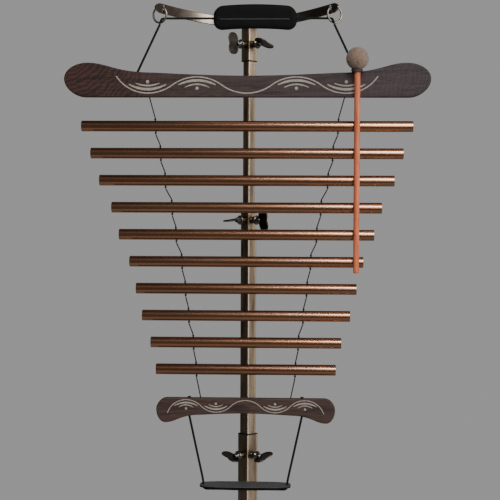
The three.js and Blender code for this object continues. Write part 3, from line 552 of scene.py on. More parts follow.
# Places that the pieces below share, read from the frame
CHIME_Y = centre("upper_yoke").y
UPPER_YOKE_Z = foot_of("upper_yoke")
LOWER_YOKE_Z = top_of("lower_yoke")
TUBE_RADIUS = extent("chime_tube_01").z / 2
RING_RADIUS = 14
RING_WIRE = 3.6
RING_TURN = 0.52
RING_X = centre("right_ring").x
RING_BOTTOM = centre("right_ring").z - RING_RADIUS
GAP = 0.3
NODE_SHARE = 0.2242
THIN_CORD = 2
THIN_CORD_HOLE = 3.6
THIN_CORD_DEPTH = 6
THIN_CORD_BRAID = (10, 0.12, 3)
THIN_KNOT = 4
THIN_KNOT_WIRE = 0.9
THICK_CORD = 4
THICK_CORD_HOLE = 5.2
THICK_CORD_MOUTH = 6
THICK_CORD_SLEEVE = 4.8
THICK_CORD_DEPTH = 16
THICK_CORD_HINGE_DEPTH = 2
THICK_CORD_BRAID = (14, 0.14, 5)
THICK_KNOT = 2.4
CORD_CREASE = 60
CORD_LEAN = 0.5
CORD_HINGE_GAP = 0.8
UPPER_CORD_AT = 191
UPPER_LADDER_AT = 170
LOWER_CORD_AT = 99
LOWER_LADDER_AT = 79
UPRIGHT = Matrix.Rotation(pi / 2, 4, "X")
ALONG_X = Matrix.Rotation(pi / 2, 4, "Y")


def chime(x, z):
    """A point in the chime's plane."""
    return Vector((x, CHIME_Y, z))


def to_side(point, side):
    return Vector((side * point.x, point.y, point.z))


def upright(shape, x, y, z):
    """A shape made in X and Y, stood up in X and Z and moved."""
    return shifted(moved(shape, UPRIGHT), x, y, z)


def holes(x, start, end, diameter):
    """Upright drillings at this distance to both sides of the middle."""
    return [(chime(side * x, start), chime(side * x, end), diameter) for _, side in SIDES]


def tube_at(tube):
    """Height of a tube and the distance of its cords from the middle."""
    node = f"chime_tube_{tube}"
    return centre(node).z, extent(node).x * (0.5 - NODE_SHARE)


# Outlines of the yokes, which the cords meet

UPPER = dict(half=319.5, nose=38, tip=32, lobe=60, lobe_inset=41, shoulder=42.8, shoulder_at=160, waist=37.6)
LOWER = dict(half=157, nose=19, tip=20, lobe=43.7, lobe_inset=16, shoulder=30, shoulder_at=78, waist=27)


def yoke_edge(half, nose, tip, lobe, lobe_inset, shoulder, shoulder_at, waist):
    """The right half of a yoke's edge, from the end of its straight edge round the lobe to the waist."""
    straight, lobe_at = half - nose, half - lobe_inset
    flank = lobe_at - shoulder_at
    return [Vector((straight, 0))] + curved([
        [(straight, 0), (straight + 0.5 * nose, 0), (half, 0.5 * tip), (half, tip)],
        [(half, tip), (half, tip + 0.6 * (lobe - tip)), (lobe_at + 0.5 * lobe_inset, lobe), (lobe_at, lobe)],
        [(lobe_at, lobe), (lobe_at - 0.3 * flank, lobe), (lobe_at - 0.4 * flank, shoulder),
         (shoulder_at, shoulder)],
        [(shoulder_at, shoulder), (0.65 * shoulder_at, shoulder - 0.55 * (shoulder - waist)),
         (0.3 * shoulder_at, waist), (0, waist)],
    ], 16)


def yoke_depth(size, x):
    """How far a yoke's curved edge lies from its straight one, between its lobe and its middle."""
    edge = [p for p in yoke_edge(**size) if p.x <= size["half"] - size["lobe_inset"]]
    for a, b in zip(edge, edge[1:]):
        if a.x >= x >= b.x:
            return b.y + (a.y - b.y) * (x - b.x) / (a.x - b.x)
    raise ValueError("outside the yoke")


# Cords: braided, with their knots wound as short coils

def knot(x, z):
    """A knot about an upright thin cord: the cord wound round itself."""
    turns, steps = 2.25, 40
    path = []
    for share in (i / steps for i in range(steps + 1)):
        turn = 2 * pi * turns * share
        swell = THIN_KNOT_WIRE * (0.75 + 0.4 * sin(pi * share))
        path.append(chime(x, z) + Vector((swell * cos(turn), swell * sin(turn),
                                          (THIN_KNOT / 2 - THIN_KNOT_WIRE) * (2 * share - 1))))
    return swept(path, THIN_KNOT_WIRE, 10)


def cord(node, path, diameter, braid, knots=()):
    """A cord in the place of its CAD node, with the knots at these places."""
    shape = joined(swept(path, diameter / 2, *braid), *[knot(*at) for at in knots])
    stand_in(node, shape, CORD, CORD_CREASE)


def thick_cord(node, controls):
    cord(node, along_curve(controls, 1.0), THICK_CORD, THICK_CORD_BRAID)


def thin_cord(node, line, knots=()):
    cord(node, evenly(line, 0.8), THIN_CORD, THIN_CORD_BRAID, knots)


def both_ends(end):
    """A route from its left end to its right one, given the right half."""
    return [to_side(p, -1) for p in reversed(end)] + end


# The bridle runs behind each ring's inner side, through it and down in front of its lowest wire
BRIDLE_RISE = 7.4
BRIDLE_FRONT = 6
BRIDLE_TAIL = 2.5
BRIDLE_Z = RING_BOTTOM + BRIDLE_RISE
thick_cord("bridle_cord", both_ends([Vector((RING_X + x, CHIME_Y + y, RING_BOTTOM + z)) for x, y, z in (
    (-60, GAP, BRIDLE_RISE),
    (-22, GAP, BRIDLE_RISE),
    (-11, 0.2, BRIDLE_RISE),
    (-7.3, -1.2, 7),
    (-4, -4.5, 5.6),
    (-1.9, -BRIDLE_FRONT, 1.2),
    (-1, -BRIDLE_FRONT, -BRIDLE_TAIL),
)]))

DROP_TOP = Vector((RING_X, CHIME_Y - BRIDLE_FRONT, RING_BOTTOM - BRIDLE_TAIL))
DROP_TOP -= Vector((CORD_HINGE_GAP, 0, CORD_HINGE_GAP))
DROP_FOOT = chime(UPPER_CORD_AT, UPPER_YOKE_Z + yoke_depth(UPPER, UPPER_CORD_AT))
DROP_WAY = (DROP_FOOT - DROP_TOP).normalized()
for name, side in SIDES:
    top, foot = to_side(DROP_TOP, side), to_side(DROP_FOOT + DROP_WAY * THICK_CORD_DEPTH, side)
    thick_cord(f"upper_cord_{name}", [top, top.lerp(foot, 0.5), foot])

GRIP_HOLE_INSET = 6
LOWER_RUN_Z = foot_of("lower_cord") + THICK_CORD / 2
LOWER_HOLE_X = extent("lower_grip").x / 2 - GRIP_HOLE_INSET
LOWER_CORD_TOP = top_of("lower_cord")
BEND = 9
LOWER_RISE_FOOT = chime(LOWER_HOLE_X + 0.1 * BEND, top_of("lower_grip") + BEND)
LOWER_RISE_TOP = chime(LOWER_CORD_AT, LOWER_CORD_TOP - THICK_CORD_HINGE_DEPTH)
thick_cord("lower_cord", both_ends([
    chime(LOWER_HOLE_X - 2 * BEND, LOWER_RUN_Z),
    chime(LOWER_HOLE_X - 0.62 * BEND, LOWER_RUN_Z),
    chime(LOWER_HOLE_X - 0.16 * BEND, LOWER_RUN_Z + 0.25 * BEND),
    chime(LOWER_HOLE_X, centre("lower_grip").z),
    *[LOWER_RISE_FOOT.lerp(LOWER_RISE_TOP, share) for share in (0, 0.4, 0.75, 0.95, 1)],
    chime(LOWER_CORD_AT, LOWER_CORD_TOP),
]))

KNOT_NEAR = TUBE_RADIUS + GAP
KNOT_MIDDLE = KNOT_NEAR + THIN_KNOT / 2
KNOT_FAR = KNOT_NEAR + THIN_KNOT
BEAD = [(0, 0), (2.5, 0), (3, 0.7), (3, 1.5), (2.2, 2.2), (0, THICK_KNOT)]
for name, side in SIDES:
    start = [chime(side * UPPER_LADDER_AT, UPPER_YOKE_Z + h) for h in (THIN_CORD_DEPTH, 0)]
    for tube in TUBES:
        z, x = tube_at(tube)
        above, below = side * (x + CORD_LEAN), side * (x - CORD_LEAN)
        line = [*start, chime(above, z + KNOT_FAR), chime(above, z + KNOT_NEAR), chime(below, z - KNOT_NEAR),
                chime(below, z - KNOT_FAR)]
        thin_cord(f"{name}_cord_{tube}", line, [(above, z + KNOT_MIDDLE), (below, z - KNOT_MIDDLE)])
        start = [chime(below, z - KNOT_FAR - 2 * GAP)]
    end = [chime(side * LOWER_LADDER_AT, LOWER_YOKE_Z - h) for h in (0, THIN_CORD_DEPTH)]
    thin_cord(f"{name}_cord_11", start + end)
    x = side * LOWER_CORD_AT
    stem = evenly([chime(x, LOWER_YOKE_Z + h) for h in (-THICK_CORD_DEPTH, THICK_KNOT)], 1.0)
    shape = joined(swept(stem, THICK_CORD / 2, *THICK_CORD_BRAID),
                   shifted(lathe(BEAD, 24), *chime(x, LOWER_YOKE_Z + GAP)))
    stand_in(f"lower_knot_{name}", shape, CORD, CORD_CREASE)


# Tubes: drawn pipe with softened lips, drilled at the still points

WALL = 1.5
LIP = 0.35
DRILL_PAST = 1
DRILL_ROOM = 4


def pipe(length, cord_at):
    """A pipe along X, with extra rings beside its holes so that the drilling stays local."""
    outer, inner, half = TUBE_RADIUS, TUBE_RADIUS - WALL, length / 2
    stops = sorted(side * (cord_at + d) for side in (-1, 1) for d in (-DRILL_ROOM, DRILL_ROOM))
    stops = [LIP - half, *stops, half - LIP]
    profile = [(outer - LIP, -half)] + [(outer, h) for h in stops] + [(outer - LIP, half)]
    profile += [(inner + LIP, half)] + [(inner, h) for h in reversed(stops)] + [(inner + LIP, -half)]
    return moved(lathe(profile, 64, closed=True), ALONG_X)


for tube in TUBES:
    z, x = tube_at(tube)
    node = f"chime_tube_{tube}"
    shape = shifted(pipe(extent(node).x, x), *chime(0, z))
    reach = TUBE_RADIUS + DRILL_PAST
    drilled(stand_in(node, shape, BRONZE, 30),
            *holes(x, z - reach, z + reach, THIN_CORD_HOLE))


# Yokes: planks with a straight edge and a curved one, inlaid with waves, arcs and dots

YOKE_THICKNESS = 12
YOKE_EDGE = 1.8
FRONT_Y = CHIME_Y - YOKE_THICKNESS / 2
HOLE_PAST = 3
HOLE_SPARE = 2
THROUGH = 60
MOUTH_DEPTH = 20


def plank(size, up, z):
    """A yoke with its straight edge at a height and its curved one above it, or below where up is -1."""
    straight = size["half"] - size["nose"]
    right = [Vector((straight * i / 12, 0)) for i in range(1, 12)] + yoke_edge(**size)
    outline = right + [Vector((-p.x, p.y)) for p in reversed(right[:-1])]
    if up < 0:
        outline = [Vector((p.x, -p.y)) for p in reversed(outline)]
    return upright(slab(outline, YOKE_THICKNESS, YOKE_EDGE, 4), 0, CHIME_Y, z)


slanted = []
for _, side in SIDES:
    mouth, end = [to_side(DROP_FOOT + DROP_WAY * reach, side)
                  for reach in (-THICK_CORD_DEPTH, THICK_CORD_DEPTH + 1)]
    slanted.append((mouth, end, THICK_CORD_HOLE))
low, high = UPPER_YOKE_Z - HOLE_PAST, UPPER_YOKE_Z + THIN_CORD_DEPTH + HOLE_SPARE
drilled(stand_in("upper_yoke", plank(UPPER, 1, UPPER_YOKE_Z), DARK_WOOD),
        *slanted, *holes(UPPER_LADDER_AT, low, high, THIN_CORD_HOLE))

low, high = LOWER_YOKE_Z - THIN_CORD_DEPTH - HOLE_SPARE, LOWER_YOKE_Z + HOLE_PAST
mouth = LOWER_CORD_TOP + HOLE_SPARE
piece = stand_in("lower_yoke", plank(LOWER, -1, LOWER_YOKE_Z), RED_WOOD)
for one_side in zip(holes(LOWER_LADDER_AT, high, low, THIN_CORD_HOLE),
                    holes(LOWER_CORD_AT, high, LOWER_YOKE_Z - THROUGH, THICK_CORD_HOLE),
                    holes(LOWER_CORD_AT, mouth, mouth - MOUTH_DEPTH, THICK_CORD_MOUTH)):
    drilled(piece, *one_side)

INLAY_PROUD = 0.12
INLAY_DEPTH = 0.5


def strip(path, widths):
    """A flat inlaid band along points in X and Z, as wide at each as widths say."""
    loops = []
    for i, (at, width) in enumerate(zip(path, widths)):
        way = heading(path, i)
        side = Vector((-way.y, way.x)) * (width / 2)
        section = ((side, -INLAY_PROUD), (-side, -INLAY_PROUD), (-side, INLAY_DEPTH), (side, INLAY_DEPTH))
        loops.append([Vector((at.x + edge.x, FRONT_Y + y, at.y + edge.y)) for edge, y in section])
    return loft(loops, capped=True)


def bow(origin, goal):
    """Points on an arc that starts level at its origin."""
    dx, dz = goal - origin
    radius = (dx * dx + dz * dz) / (2 * abs(dz))
    steps = 14
    result = []
    for x in (dx * i / steps for i in range(steps + 1)):
        drop = radius - sqrt(max(radius ** 2 - x * x, 0))
        result.append(origin + Vector((x, copysign(drop, dz))))
    return result


def arc_wave(turns):
    """A line of tangent arcs from the first point to the last, level at its turns between."""
    path = bow(turns[1], turns[0])[::-1]
    for a, b in zip(turns[1:-1], turns[2:-1]):
        middle = (a + b) / 2
        path += bow(a, middle)[1:] + bow(b, middle)[-2::-1]
    return path + bow(turns[-2], turns[-1])[1:]


def crescent(x, half, end_z, middle_z, thick):
    """A band that hangs or arches between two points and narrows towards them."""
    steps = 24
    shares = [2 * i / steps - 1 for i in range(steps + 1)]
    path = [Vector((x + half * share, middle_z + (end_z - middle_z) * share ** 2)) for share in shares]
    return strip(path, [thick * (1 - 0.6 * abs(share) ** 2.2) for share in shares])


def dot(x, z, diameter):
    """A disc that is a little crowned."""
    radius, crown = diameter / 2, 0.1
    disc = [(0, -INLAY_DEPTH), (radius, -INLAY_DEPTH), (radius, INLAY_PROUD), (0, INLAY_PROUD + crown)]
    return upright(lathe(disc, 24), x, FRONT_Y, z)


def ornament(yoke, z, wave, line, *motifs):
    """A wave and its motifs on a yoke, mirrored from the right half.

    wave gives the points from the middle to the end, and line its width. Each turn but the middle one has a
    motif: a dot as (height, diameter), then a thin and a thick arc as (half width, end, middle, thickness).
    """
    right = [Vector(p) for p in wave]
    path = arc_wave([Vector((-p.x, p.y)) for p in right[:0:-1]] + right)
    shapes = [strip(path, [line] * len(path))]
    for turn, (spot, thin, thick) in zip(right[1:], motifs):
        for x in (-turn.x, turn.x):
            shapes += [dot(x, *spot), crescent(x, *thin), crescent(x, *thick)]
    make(f"{yoke}_inlay", shifted(joined(*shapes), 0, 0, z), INLAY, body_of(f"{yoke}_yoke"))


ornament("upper", UPPER_YOKE_Z, [(0, 7.1), (86.5, 35.2), (172.8, 7.1), (227.5, 36.4)], 2.1,
         ((15.6, 5.7), (21.4, 17, 22.5, 2.8), (32.4, 21.6, 29.2, 4.4)),
         ((26.8, 5.7), (21, 24.4, 20.1, 2.8), (32.6, 22.2, 13.8, 4.4)))
ornament("lower", LOWER_YOKE_Z, [(0, -3.8), (51.9, -24.9), (104.3, -3.2), (137.2, -26.6)], 1.5,
         ((-9.9, 4.2), (12.6, -11.4, -15, 1.9), (20.2, -13.6, -19.6, 2.9)),
         ((-18.7, 4.2), (12.8, -16.4, -12.4, 1.9), (20.4, -14, -8.2, 2.9)))


# Leather grips: pads of hide with soft edges, built column by column

HIDE_CREASE = 70


def hide(half, edge, heights, columns=96, rows=64):
    """A pad in X and Y: edge(x, side) bounds it, and heights(x, y) gives its upper and lower face."""
    loops = []
    for i in range(columns + 1):
        x = half * sin(pi / 2 * (2 * i / columns - 1))
        bottom, top = edge(x, -1), edge(x, 1)
        column = [bottom + (top - bottom) * (1 - cos(pi * j / rows)) / 2 for j in range(rows + 1)]
        loops.append([Vector((x, y, heights(x, y)[0])) for y in reversed(column)]
                     + [Vector((x, y, heights(x, y)[1])) for y in column])
    return loft(loops, capped=True)


def softened(distance, reach):
    """0 on an edge, rising smoothly to 1 at reach."""
    share = max(0.0, min(distance / reach, 1.0))
    return sqrt(share * (2 - share))


def ridge(distance, width):
    """1 on a line, falling off smoothly to both sides."""
    return exp(-((distance / width) ** 2))


GRIP_HALF = 72.5
GRIP_HEIGHT = 42
GRIP_CORNER = 17
GRIP_ARCH = 4
GRIP_THICKNESS = 9
GRIP_RIM = 1.1
GRIP_SPARE = 0.2
GRIP_SOFT = 9
LIP_RISE = 1.5
SEAM_DROP = 1.5
EYELET_X = -63
EYELET_SUNK = 0.2
EYELET = [(0.9, 0), (1.5, 0.5), (2.1, 0.5), (2.4, 0), (2.1, -0.6), (0.9, -0.6)]
WELT_HALF = 60
WELT_RADIUS = 0.55
WELT_PROUD = 0.4
grip_middle = centre("upper_grip")
grip_at = grip_middle - Vector((0, 0, GRIP_ARCH / 2))
SEAM = BRIDLE_Z - SEAM_DROP - grip_at.z


def grip_edge(x, side):
    """The upper edge where side is 1 and the lower one where it is -1, arched and with round corners."""
    over = max(abs(x) - (GRIP_HALF - GRIP_CORNER), 0) / GRIP_CORNER
    end = GRIP_CORNER * (1 - sqrt(max(1 - over * over, 0)))
    return side * (GRIP_HEIGHT / 2 - end) + GRIP_ARCH * (1 - (x / GRIP_HALF) ** 2)


def grip_faces(x, y):
    """A swollen cover with a crease along its seam and a lip above that."""
    inside = min(y - grip_edge(x, -1), grip_edge(x, 1) - y, GRIP_HALF - abs(x))
    swell = GRIP_RIM + (GRIP_THICKNESS / 2 - GRIP_RIM - GRIP_SPARE) * softened(inside, GRIP_SOFT)
    ends = softened(GRIP_HALF - 8 - abs(x), 6)
    crease = ends * (ridge(y - SEAM, 0.8) - 0.35 * ridge(y - SEAM - LIP_RISE, 0.7))
    ripple = 0.25 * noise.noise(Vector((x / 16, y / 9, 0.4)))
    return swell - crease + ripple, -swell - 0.1 + ripple


pad = upright(hide(GRIP_HALF, grip_edge, grip_faces), *grip_at)
stand_in("upper_grip", pad, LEATHER, HIDE_CREASE)
eyelet = upright(lathe(EYELET, 24, closed=True), grip_middle.x + EYELET_X,
                 grip_middle.y - GRIP_THICKNESS / 2 + EYELET_SUNK, BRIDLE_Z)
make("upper_grip_eyelet", eyelet, BLACKED, body_of("upper_grip"))
# A thin raised welt along the seam, whose light grey paints the highlight on the seam's lip
highlight_welt = [Vector((x, SEAM, grip_faces(x, SEAM)[0] + WELT_PROUD)) for x in range(-WELT_HALF, WELT_HALF + 1)]
make("upper_grip_highlight_welt", upright(swept(highlight_welt, WELT_RADIUS, 10), *grip_at), SHEEN_PAINTED_LEATHER, body_of("upper_grip"))

# The lower grip is a plate of hide, thick in the middle and thin at its end tabs, with painted sheen on its
# upward faces
PLATE_CORNER_RUN = 46
PLATE_CORNER_ROUND = 19
PLATE_TAB = 3.6
PLATE_HALF = extent("lower_grip").x / 2
PLATE_DEPTH = extent("lower_grip").y
PLATE_THICKNESS = extent("lower_grip").z
PLATE_FREE = 0.12
PLATE_EDGE = 1.1
PLATE_SOFT = 2.4
GROOVE_IN = 4.2
GROOVE_DEPTH = 0.4
GROOVE_WIDTH = 0.7
TOP_FACING = 0.4
DRILL_REACH = 8
plate_middle = centre("lower_grip")


def plate_edge(x, side):
    """The plate narrows along a curve towards its tabs."""
    left = min((PLATE_HALF - abs(x)) / PLATE_CORNER_RUN, 1)
    return side * (PLATE_DEPTH / 2 - PLATE_CORNER_ROUND * (1 - sqrt(max(left, 0))) ** 2)


def plate_faces(x, y):
    """A flat top with a groove inside its border, and a bellied underside."""
    inside = min(plate_edge(x, 1) - abs(y), PLATE_HALF - abs(x))
    edge = PLATE_EDGE * (1 - softened(inside, PLATE_SOFT))
    thick = PLATE_TAB + (PLATE_THICKNESS - PLATE_TAB) * (1 - (x / PLATE_HALF) ** 2)
    groove = GROOVE_DEPTH * ridge(inside - GROOVE_IN, GROOVE_WIDTH)
    ripple = 0.12 * noise.noise(Vector((x / 18, y / 12, 3.1)))
    top = PLATE_THICKNESS / 2
    return top - edge - groove + ripple - PLATE_FREE, top - thick + edge + ripple + PLATE_FREE


plate = shifted(hide(PLATE_HALF, plate_edge, plate_faces), *plate_middle)
piece = stand_in("lower_grip", plate, SHEEN_PAINTED_LEATHER, HIDE_CREASE)
piece.data.materials.append(LEATHER)
# Upward faces get the grey of painted sheen, the others the black hide
for face in piece.data.polygons:
    face.material_index = 0 if face.normal.z > TOP_FACING else 1
low, high = plate_middle.z - DRILL_REACH, plate_middle.z + DRILL_REACH
drilled(piece, *holes(LOWER_HOLE_X, low, high, THICK_CORD_SLEEVE))


# Hanger bow and rings

BOW_HALF_SPAN = 144.8
BOW_REACH = 114.1
BOW_RISE = 8.8
BOW_HEIGHT = 17
BOW_THICKNESS = 3
BOW_EDGE = 0.7
BOW_TIP = 22
BOW_TIP_ROUND = 15
BOW_HOLE = 9.4
BOW_HOLE_RISE = 2.5
BOW_HOLE_REACH = 6
BOW_FLAT = 0.415 * BOW_HALF_SPAN
BOW_SPREAD = BOW_HALF_SPAN - 2 * BOW_FLAT
BOW_SLOPE = BOW_RISE / BOW_REACH
BOW_MIDDLE = foot_of("hanger_bow") + (BOW_HEIGHT + BOW_SLOPE * BOW_THICKNESS) / 2


def bow_point(share, beyond, out, up):
    """A point on the bow: a signed share of the way from its middle to a hole, or so far beyond the hole."""
    side = -1 if share < 0 else 1
    t = abs(share)
    way = Vector((BOW_FLAT + t * BOW_SPREAD, -t * BOW_REACH)).normalized()
    x = 2 * t * BOW_FLAT + t * t * BOW_SPREAD + beyond * way.x - out * way.y
    y = -t * t * BOW_REACH + beyond * way.y + out * way.x
    return Vector((side * x, y, BOW_MIDDLE - BOW_SLOPE * y + up))


def bow_bar():
    """A flat bar with softened edges and oval tips, from the left tip to the right."""
    edge, half, thick = BOW_EDGE, BOW_HEIGHT / 2, BOW_THICKNESS / 2
    round_at = BOW_TIP - BOW_TIP_ROUND
    reaches = [round_at * i / 6 for i in range(1, 7)]
    reaches += [round_at + BOW_TIP_ROUND * sin(t) for t in quarter(10)[1:-1]] + [BOW_TIP - 0.004]
    stations = [(-1, reach) for reach in reversed(reaches)]
    stations += [(i / 30 - 1, 0) for i in range(61)] + [(1, reach) for reach in reaches]
    loops = []
    for share, beyond in stations:
        over = max(beyond - round_at, 0) / BOW_TIP_ROUND
        tall = half * sqrt(max(1 - over * over, 0.001))
        flat = max(tall - edge, 0.05)
        section = [(thick, -flat), (thick, flat), (thick - edge, tall), (edge - thick, tall)]
        section += [(-out, -up) for out, up in section]
        loops.append([bow_point(share, beyond, out, up) for out, up in section])
    return loft(loops, capped=True)


drilled(stand_in("hanger_bow", bow_bar(), BOW_METAL, 40),
        *[(bow_point(side, 0, -BOW_HOLE_REACH, BOW_HOLE_RISE),
           bow_point(side, 0, BOW_HOLE_REACH, BOW_HOLE_RISE), BOW_HOLE) for _, side in SIDES])

ring_section = [(RING_RADIUS + RING_WIRE / 2 * x, RING_WIRE / 2 * y) for x, y in circle(20)]
for name, side in SIDES:
    square_to_bow = Matrix.Rotation(side * RING_TURN, 4, "Z") @ UPRIGHT
    ring = moved(lathe(ring_section, 64, closed=True), square_to_bow)
    stand_in(f"{name}_ring", shifted(ring, *centre(f"{name}_ring")), NICKEL)


# Stand: the CAD tubes keep their shape, and get wing screws, brass bosses, bolts and rubber shoes

UPPER_MAST_SIDE = 16
MAST_WALL = 2
MAST_CLEARANCE = 0.5
MIDDLE_MAST_SIDE = UPPER_MAST_SIDE + 2 * (MAST_CLEARANCE + MAST_WALL)
LOWER_MAST_SIDE = MIDDLE_MAST_SIDE + 2 * (MAST_CLEARANCE + MAST_WALL)
BOSS_DIAMETER = 11
BOSS_HEIGHT = 6
HUB_AT = BOSS_HEIGHT + 3.5
HUB_LENGTH = 12
COLLAR_RADIUS = 8.5
WING_LENGTH = 40
WING_WIDTH = 25
WING_THICKNESS = 2.5
WING_EDGE = 0.9
WING_NOTCH = 4
WING_IN_HUB = 5
WING_RIM = 1.9
WING_DISH = 0.5
HEADINGS = (("left", -0.75 * pi), ("right", -0.25 * pi))


def wing_plate(at):
    """Two wings in one plate with dished faces, from this far along +X."""
    half, middle, end = WING_LENGTH / 2, at + 0.5 * WING_WIDTH, at + WING_WIDTH
    outline = curved([
        [(at, 0), (at, -0.6 * half), (at + 0.1 * WING_WIDTH, -half), (middle, -half)],
        [(middle, -half), (end, -half), (end, -0.4 * half), (end - WING_NOTCH, 0)],
    ], 12)
    outline += [Vector((p.x, -p.y)) for p in reversed(outline[:-1])] + [Vector((at, 0))]
    dish = [(WING_RIM + 2 * WING_DISH, WING_DISH), (WING_RIM + WING_DISH, WING_DISH), (WING_RIM, 0)]
    return moved(stacked(outline, WING_THICKNESS, WING_EDGE, 3, dish), UPRIGHT)


def wing_screw(side):
    """A wing screw along +X from the mast's axis, as its threaded shaft with the hub, and its wings."""
    face = side / 2
    tip, hub = face - MAST_WALL - MAST_CLEARANCE + GAP, face + HUB_AT
    end = hub + HUB_LENGTH
    thread = [(0, tip), (2.3, tip)]
    for i in range(int(hub + 1 - tip)):
        thread += [(2.55, tip + i + 0.25), (3.0, tip + i + 0.6)]
    thread += [(2.55, hub + 1), (0, hub + 1)]
    body = [(0, hub), (COLLAR_RADIUS - 0.9, hub), (COLLAR_RADIUS, hub + 0.8), (COLLAR_RADIUS, hub + 2.2),
            (COLLAR_RADIUS - 0.7, hub + 3), (COLLAR_RADIUS - 2, hub + 4), (COLLAR_RADIUS - 3.2, hub + 5.6),
            (4.8, hub + 7.4), (4.9, hub + 9), (4.6, end - 1.6), (3.6, end - 0.4), (0, end)]
    turned = moved(joined(lathe(thread, 28), lathe(body, 36)), ALONG_X)
    return turned, wing_plate(end - WING_IN_HUB)


def boss_ring(side):
    """A brass collar round a threaded boss, along +X from the mast's axis."""
    face, radius = side / 2, BOSS_DIAMETER / 2
    end = face + BOSS_HEIGHT
    profile = [(radius + 0.02, face + 0.1), (radius + 0.9, face + 0.1), (radius + 0.9, face + 2),
               (radius + 0.3, face + 2.6), (radius + 0.3, end - 0.4), (radius - 0.2, end + 0.25),
               (3.5, end + 0.25), (3.5, end + 0.02), (radius + 0.02, end + 0.02)]
    return moved(lathe(profile, 40, closed=True), ALONG_X)


def axis_height(node):
    """The height at which a wing screw's axis crosses the mast, from its joint."""
    joint = next(j for j in frame["record"]["behaviour"]["joints"] if j["child"] == node)
    return joint["pos_m"][2] / MM


# Each clamp's name, the node that carries it, that node's side, and how far its two screws are turned
CLAMPS = (
    ("lower", "lower_mast", LOWER_MAST_SIDE, (1.24, -1.24)),
    ("middle", "middle_mast", MIDDLE_MAST_SIDE, (1.69, 0.12)),
    ("hanger", "hanger_sleeve", MIDDLE_MAST_SIDE, (0.05, 1.2)),
)
for clamp, carrier, side, turns in CLAMPS:
    for (name, way), turn in zip(HEADINGS, turns):
        node = f"{clamp}_wing_screw_{name}"
        face_on = Matrix.Translation((0, 0, axis_height(node))) @ Matrix.Rotation(way, 4, "Z")
        turned, wings = wing_screw(side)
        screw = moved(joined(turned, wings), face_on @ Matrix.Rotation(turn, 4, "X"))
        piece = stand_in(node, screw, GUNMETAL, 45)
        piece.data.materials.append(CHROME)
        for face in piece.data.polygons[:len(turned[1])]:
            face.material_index = 1
        make(f"{clamp}_boss_{name}", moved(boss_ring(side), face_on), BRASS, body_of(carrier))

MASTS = ("lower_mast", "middle_mast", "upper_mast", "hanger_sleeve")
FOOT_BARS = ("foot_bar_left_front", "foot_bar_right_front")
for node in MASTS + FOOT_BARS:
    mesh = frame["nodes"][node].data
    mesh.materials.clear()
    mesh.materials.append(PLATED if node in MASTS else BLACKED)
    shade(mesh, 40)

# Black bushings at the ends where one mast leaves the next
BUSHING_PROUD = 0.4
BUSHING_HEIGHT = 1.6


def bushing(outer, inner):
    """A square ring about the mast, standing on Z = 0."""
    section = ((outer, 1.6, 0), (outer, 1.6, BUSHING_HEIGHT), (inner, 0.6, BUSHING_HEIGHT), (inner, 0.6, 0))
    loops = [[Vector((*p, height)) for p in rounded_box(side, side, corner, 4)]
             for side, corner, height in section]
    return moved(loft(loops, closed=True), Matrix.Rotation(pi / 4, 4, "Z"))


for node, outer, end, inside in (("hanger_sleeve", MIDDLE_MAST_SIDE, foot_of, 0.6),
                                 ("middle_mast", MIDDLE_MAST_SIDE, top_of, 1.0),
                                 ("lower_mast", LOWER_MAST_SIDE, top_of, 1.0)):
    ring = bushing(outer + BUSHING_PROUD, outer - 2 * MAST_WALL - MAST_CLEARANCE / 2)
    make(f"{node}_bushing", shifted(ring, 0, 0, end(node) - inside), BLACK_RUBBER, body_of(node))

FLANGE_TOP = 34.3
BOLT_SPREAD = 27
BOLT_RADIUS = 4.6
BOLT_HEIGHT = 3.6
WASHER_HEIGHT = 1
WASHER = [(0, 0), (5.6, 0), (5.6, 0.8), (5.2, WASHER_HEIGHT), (0, WASHER_HEIGHT)]
FOOT_REACH = 258
SHOE_HEIGHT = 5
head = slab([Vector(p) * BOLT_RADIUS for p in circle(6)], BOLT_HEIGHT, 0.4, 2)
bolt = joined(lathe(WASHER, 32), shifted(head, 0, 0, WASHER_HEIGHT + BOLT_HEIGHT / 2))
shoe = slab(rounded_box(46, 31.4, 3), SHOE_HEIGHT, 0.8, 3)
for k in range(4):
    turn = Matrix.Rotation(pi / 2 * k, 4, "Z")
    arm = turn @ Matrix.Rotation(pi / 4, 4, "Z")
    out = turn @ Vector((BOLT_SPREAD * sqrt(2), 0, FLANGE_TOP))
    make(f"flange_bolt_{k + 1}", shifted(bolt, *out), GUNMETAL, body_of("lower_mast"))
    at = arm @ Vector((FOOT_REACH, 0, SHOE_HEIGHT / 2))
    make(f"foot_shoe_{k + 1}", moved(shoe, Matrix.Translation(at) @ arm), BLACK_RUBBER, body_of("lower_mast"))


# Mallet: a ball of pressed felt on a turned handle, hung in its rubber link

HANDLE_RADIUS = 5.1
HANDLE_ROUND = 2.6
HANDLE_END = 3
HANDLE_IN_HEAD = 22
MALLET_RADIUS = extent("mallet_head").x / 2
MALLET_FLAT = 7
FELT_NAP = 0.006
LINK_WIDTH = 19
LINK_THICKNESS = 4.5
LINK_EDGE = 1.1
LINK_SOFT = 1.4
mallet = centre("mallet_handle")
handle_foot, handle_top = foot_of("mallet_handle"), top_of("mallet_handle")
straight = handle_foot + HANDLE_END
profile = [(0, handle_foot), (HANDLE_RADIUS - HANDLE_ROUND, handle_foot)]
profile += [(HANDLE_RADIUS - HANDLE_ROUND * (1 - sin(t)), handle_foot + HANDLE_ROUND * (1 - cos(t)))
            for t in quarter(6)[1:]]
profile += [(HANDLE_RADIUS, straight + (handle_top - straight) * i / 24) for i in range(1, 25)]
profile += [(0, handle_top)]
stand_in("mallet_handle", shifted(lathe(profile, 48), mallet.x, mallet.y, 0), HANDLE_WOOD)

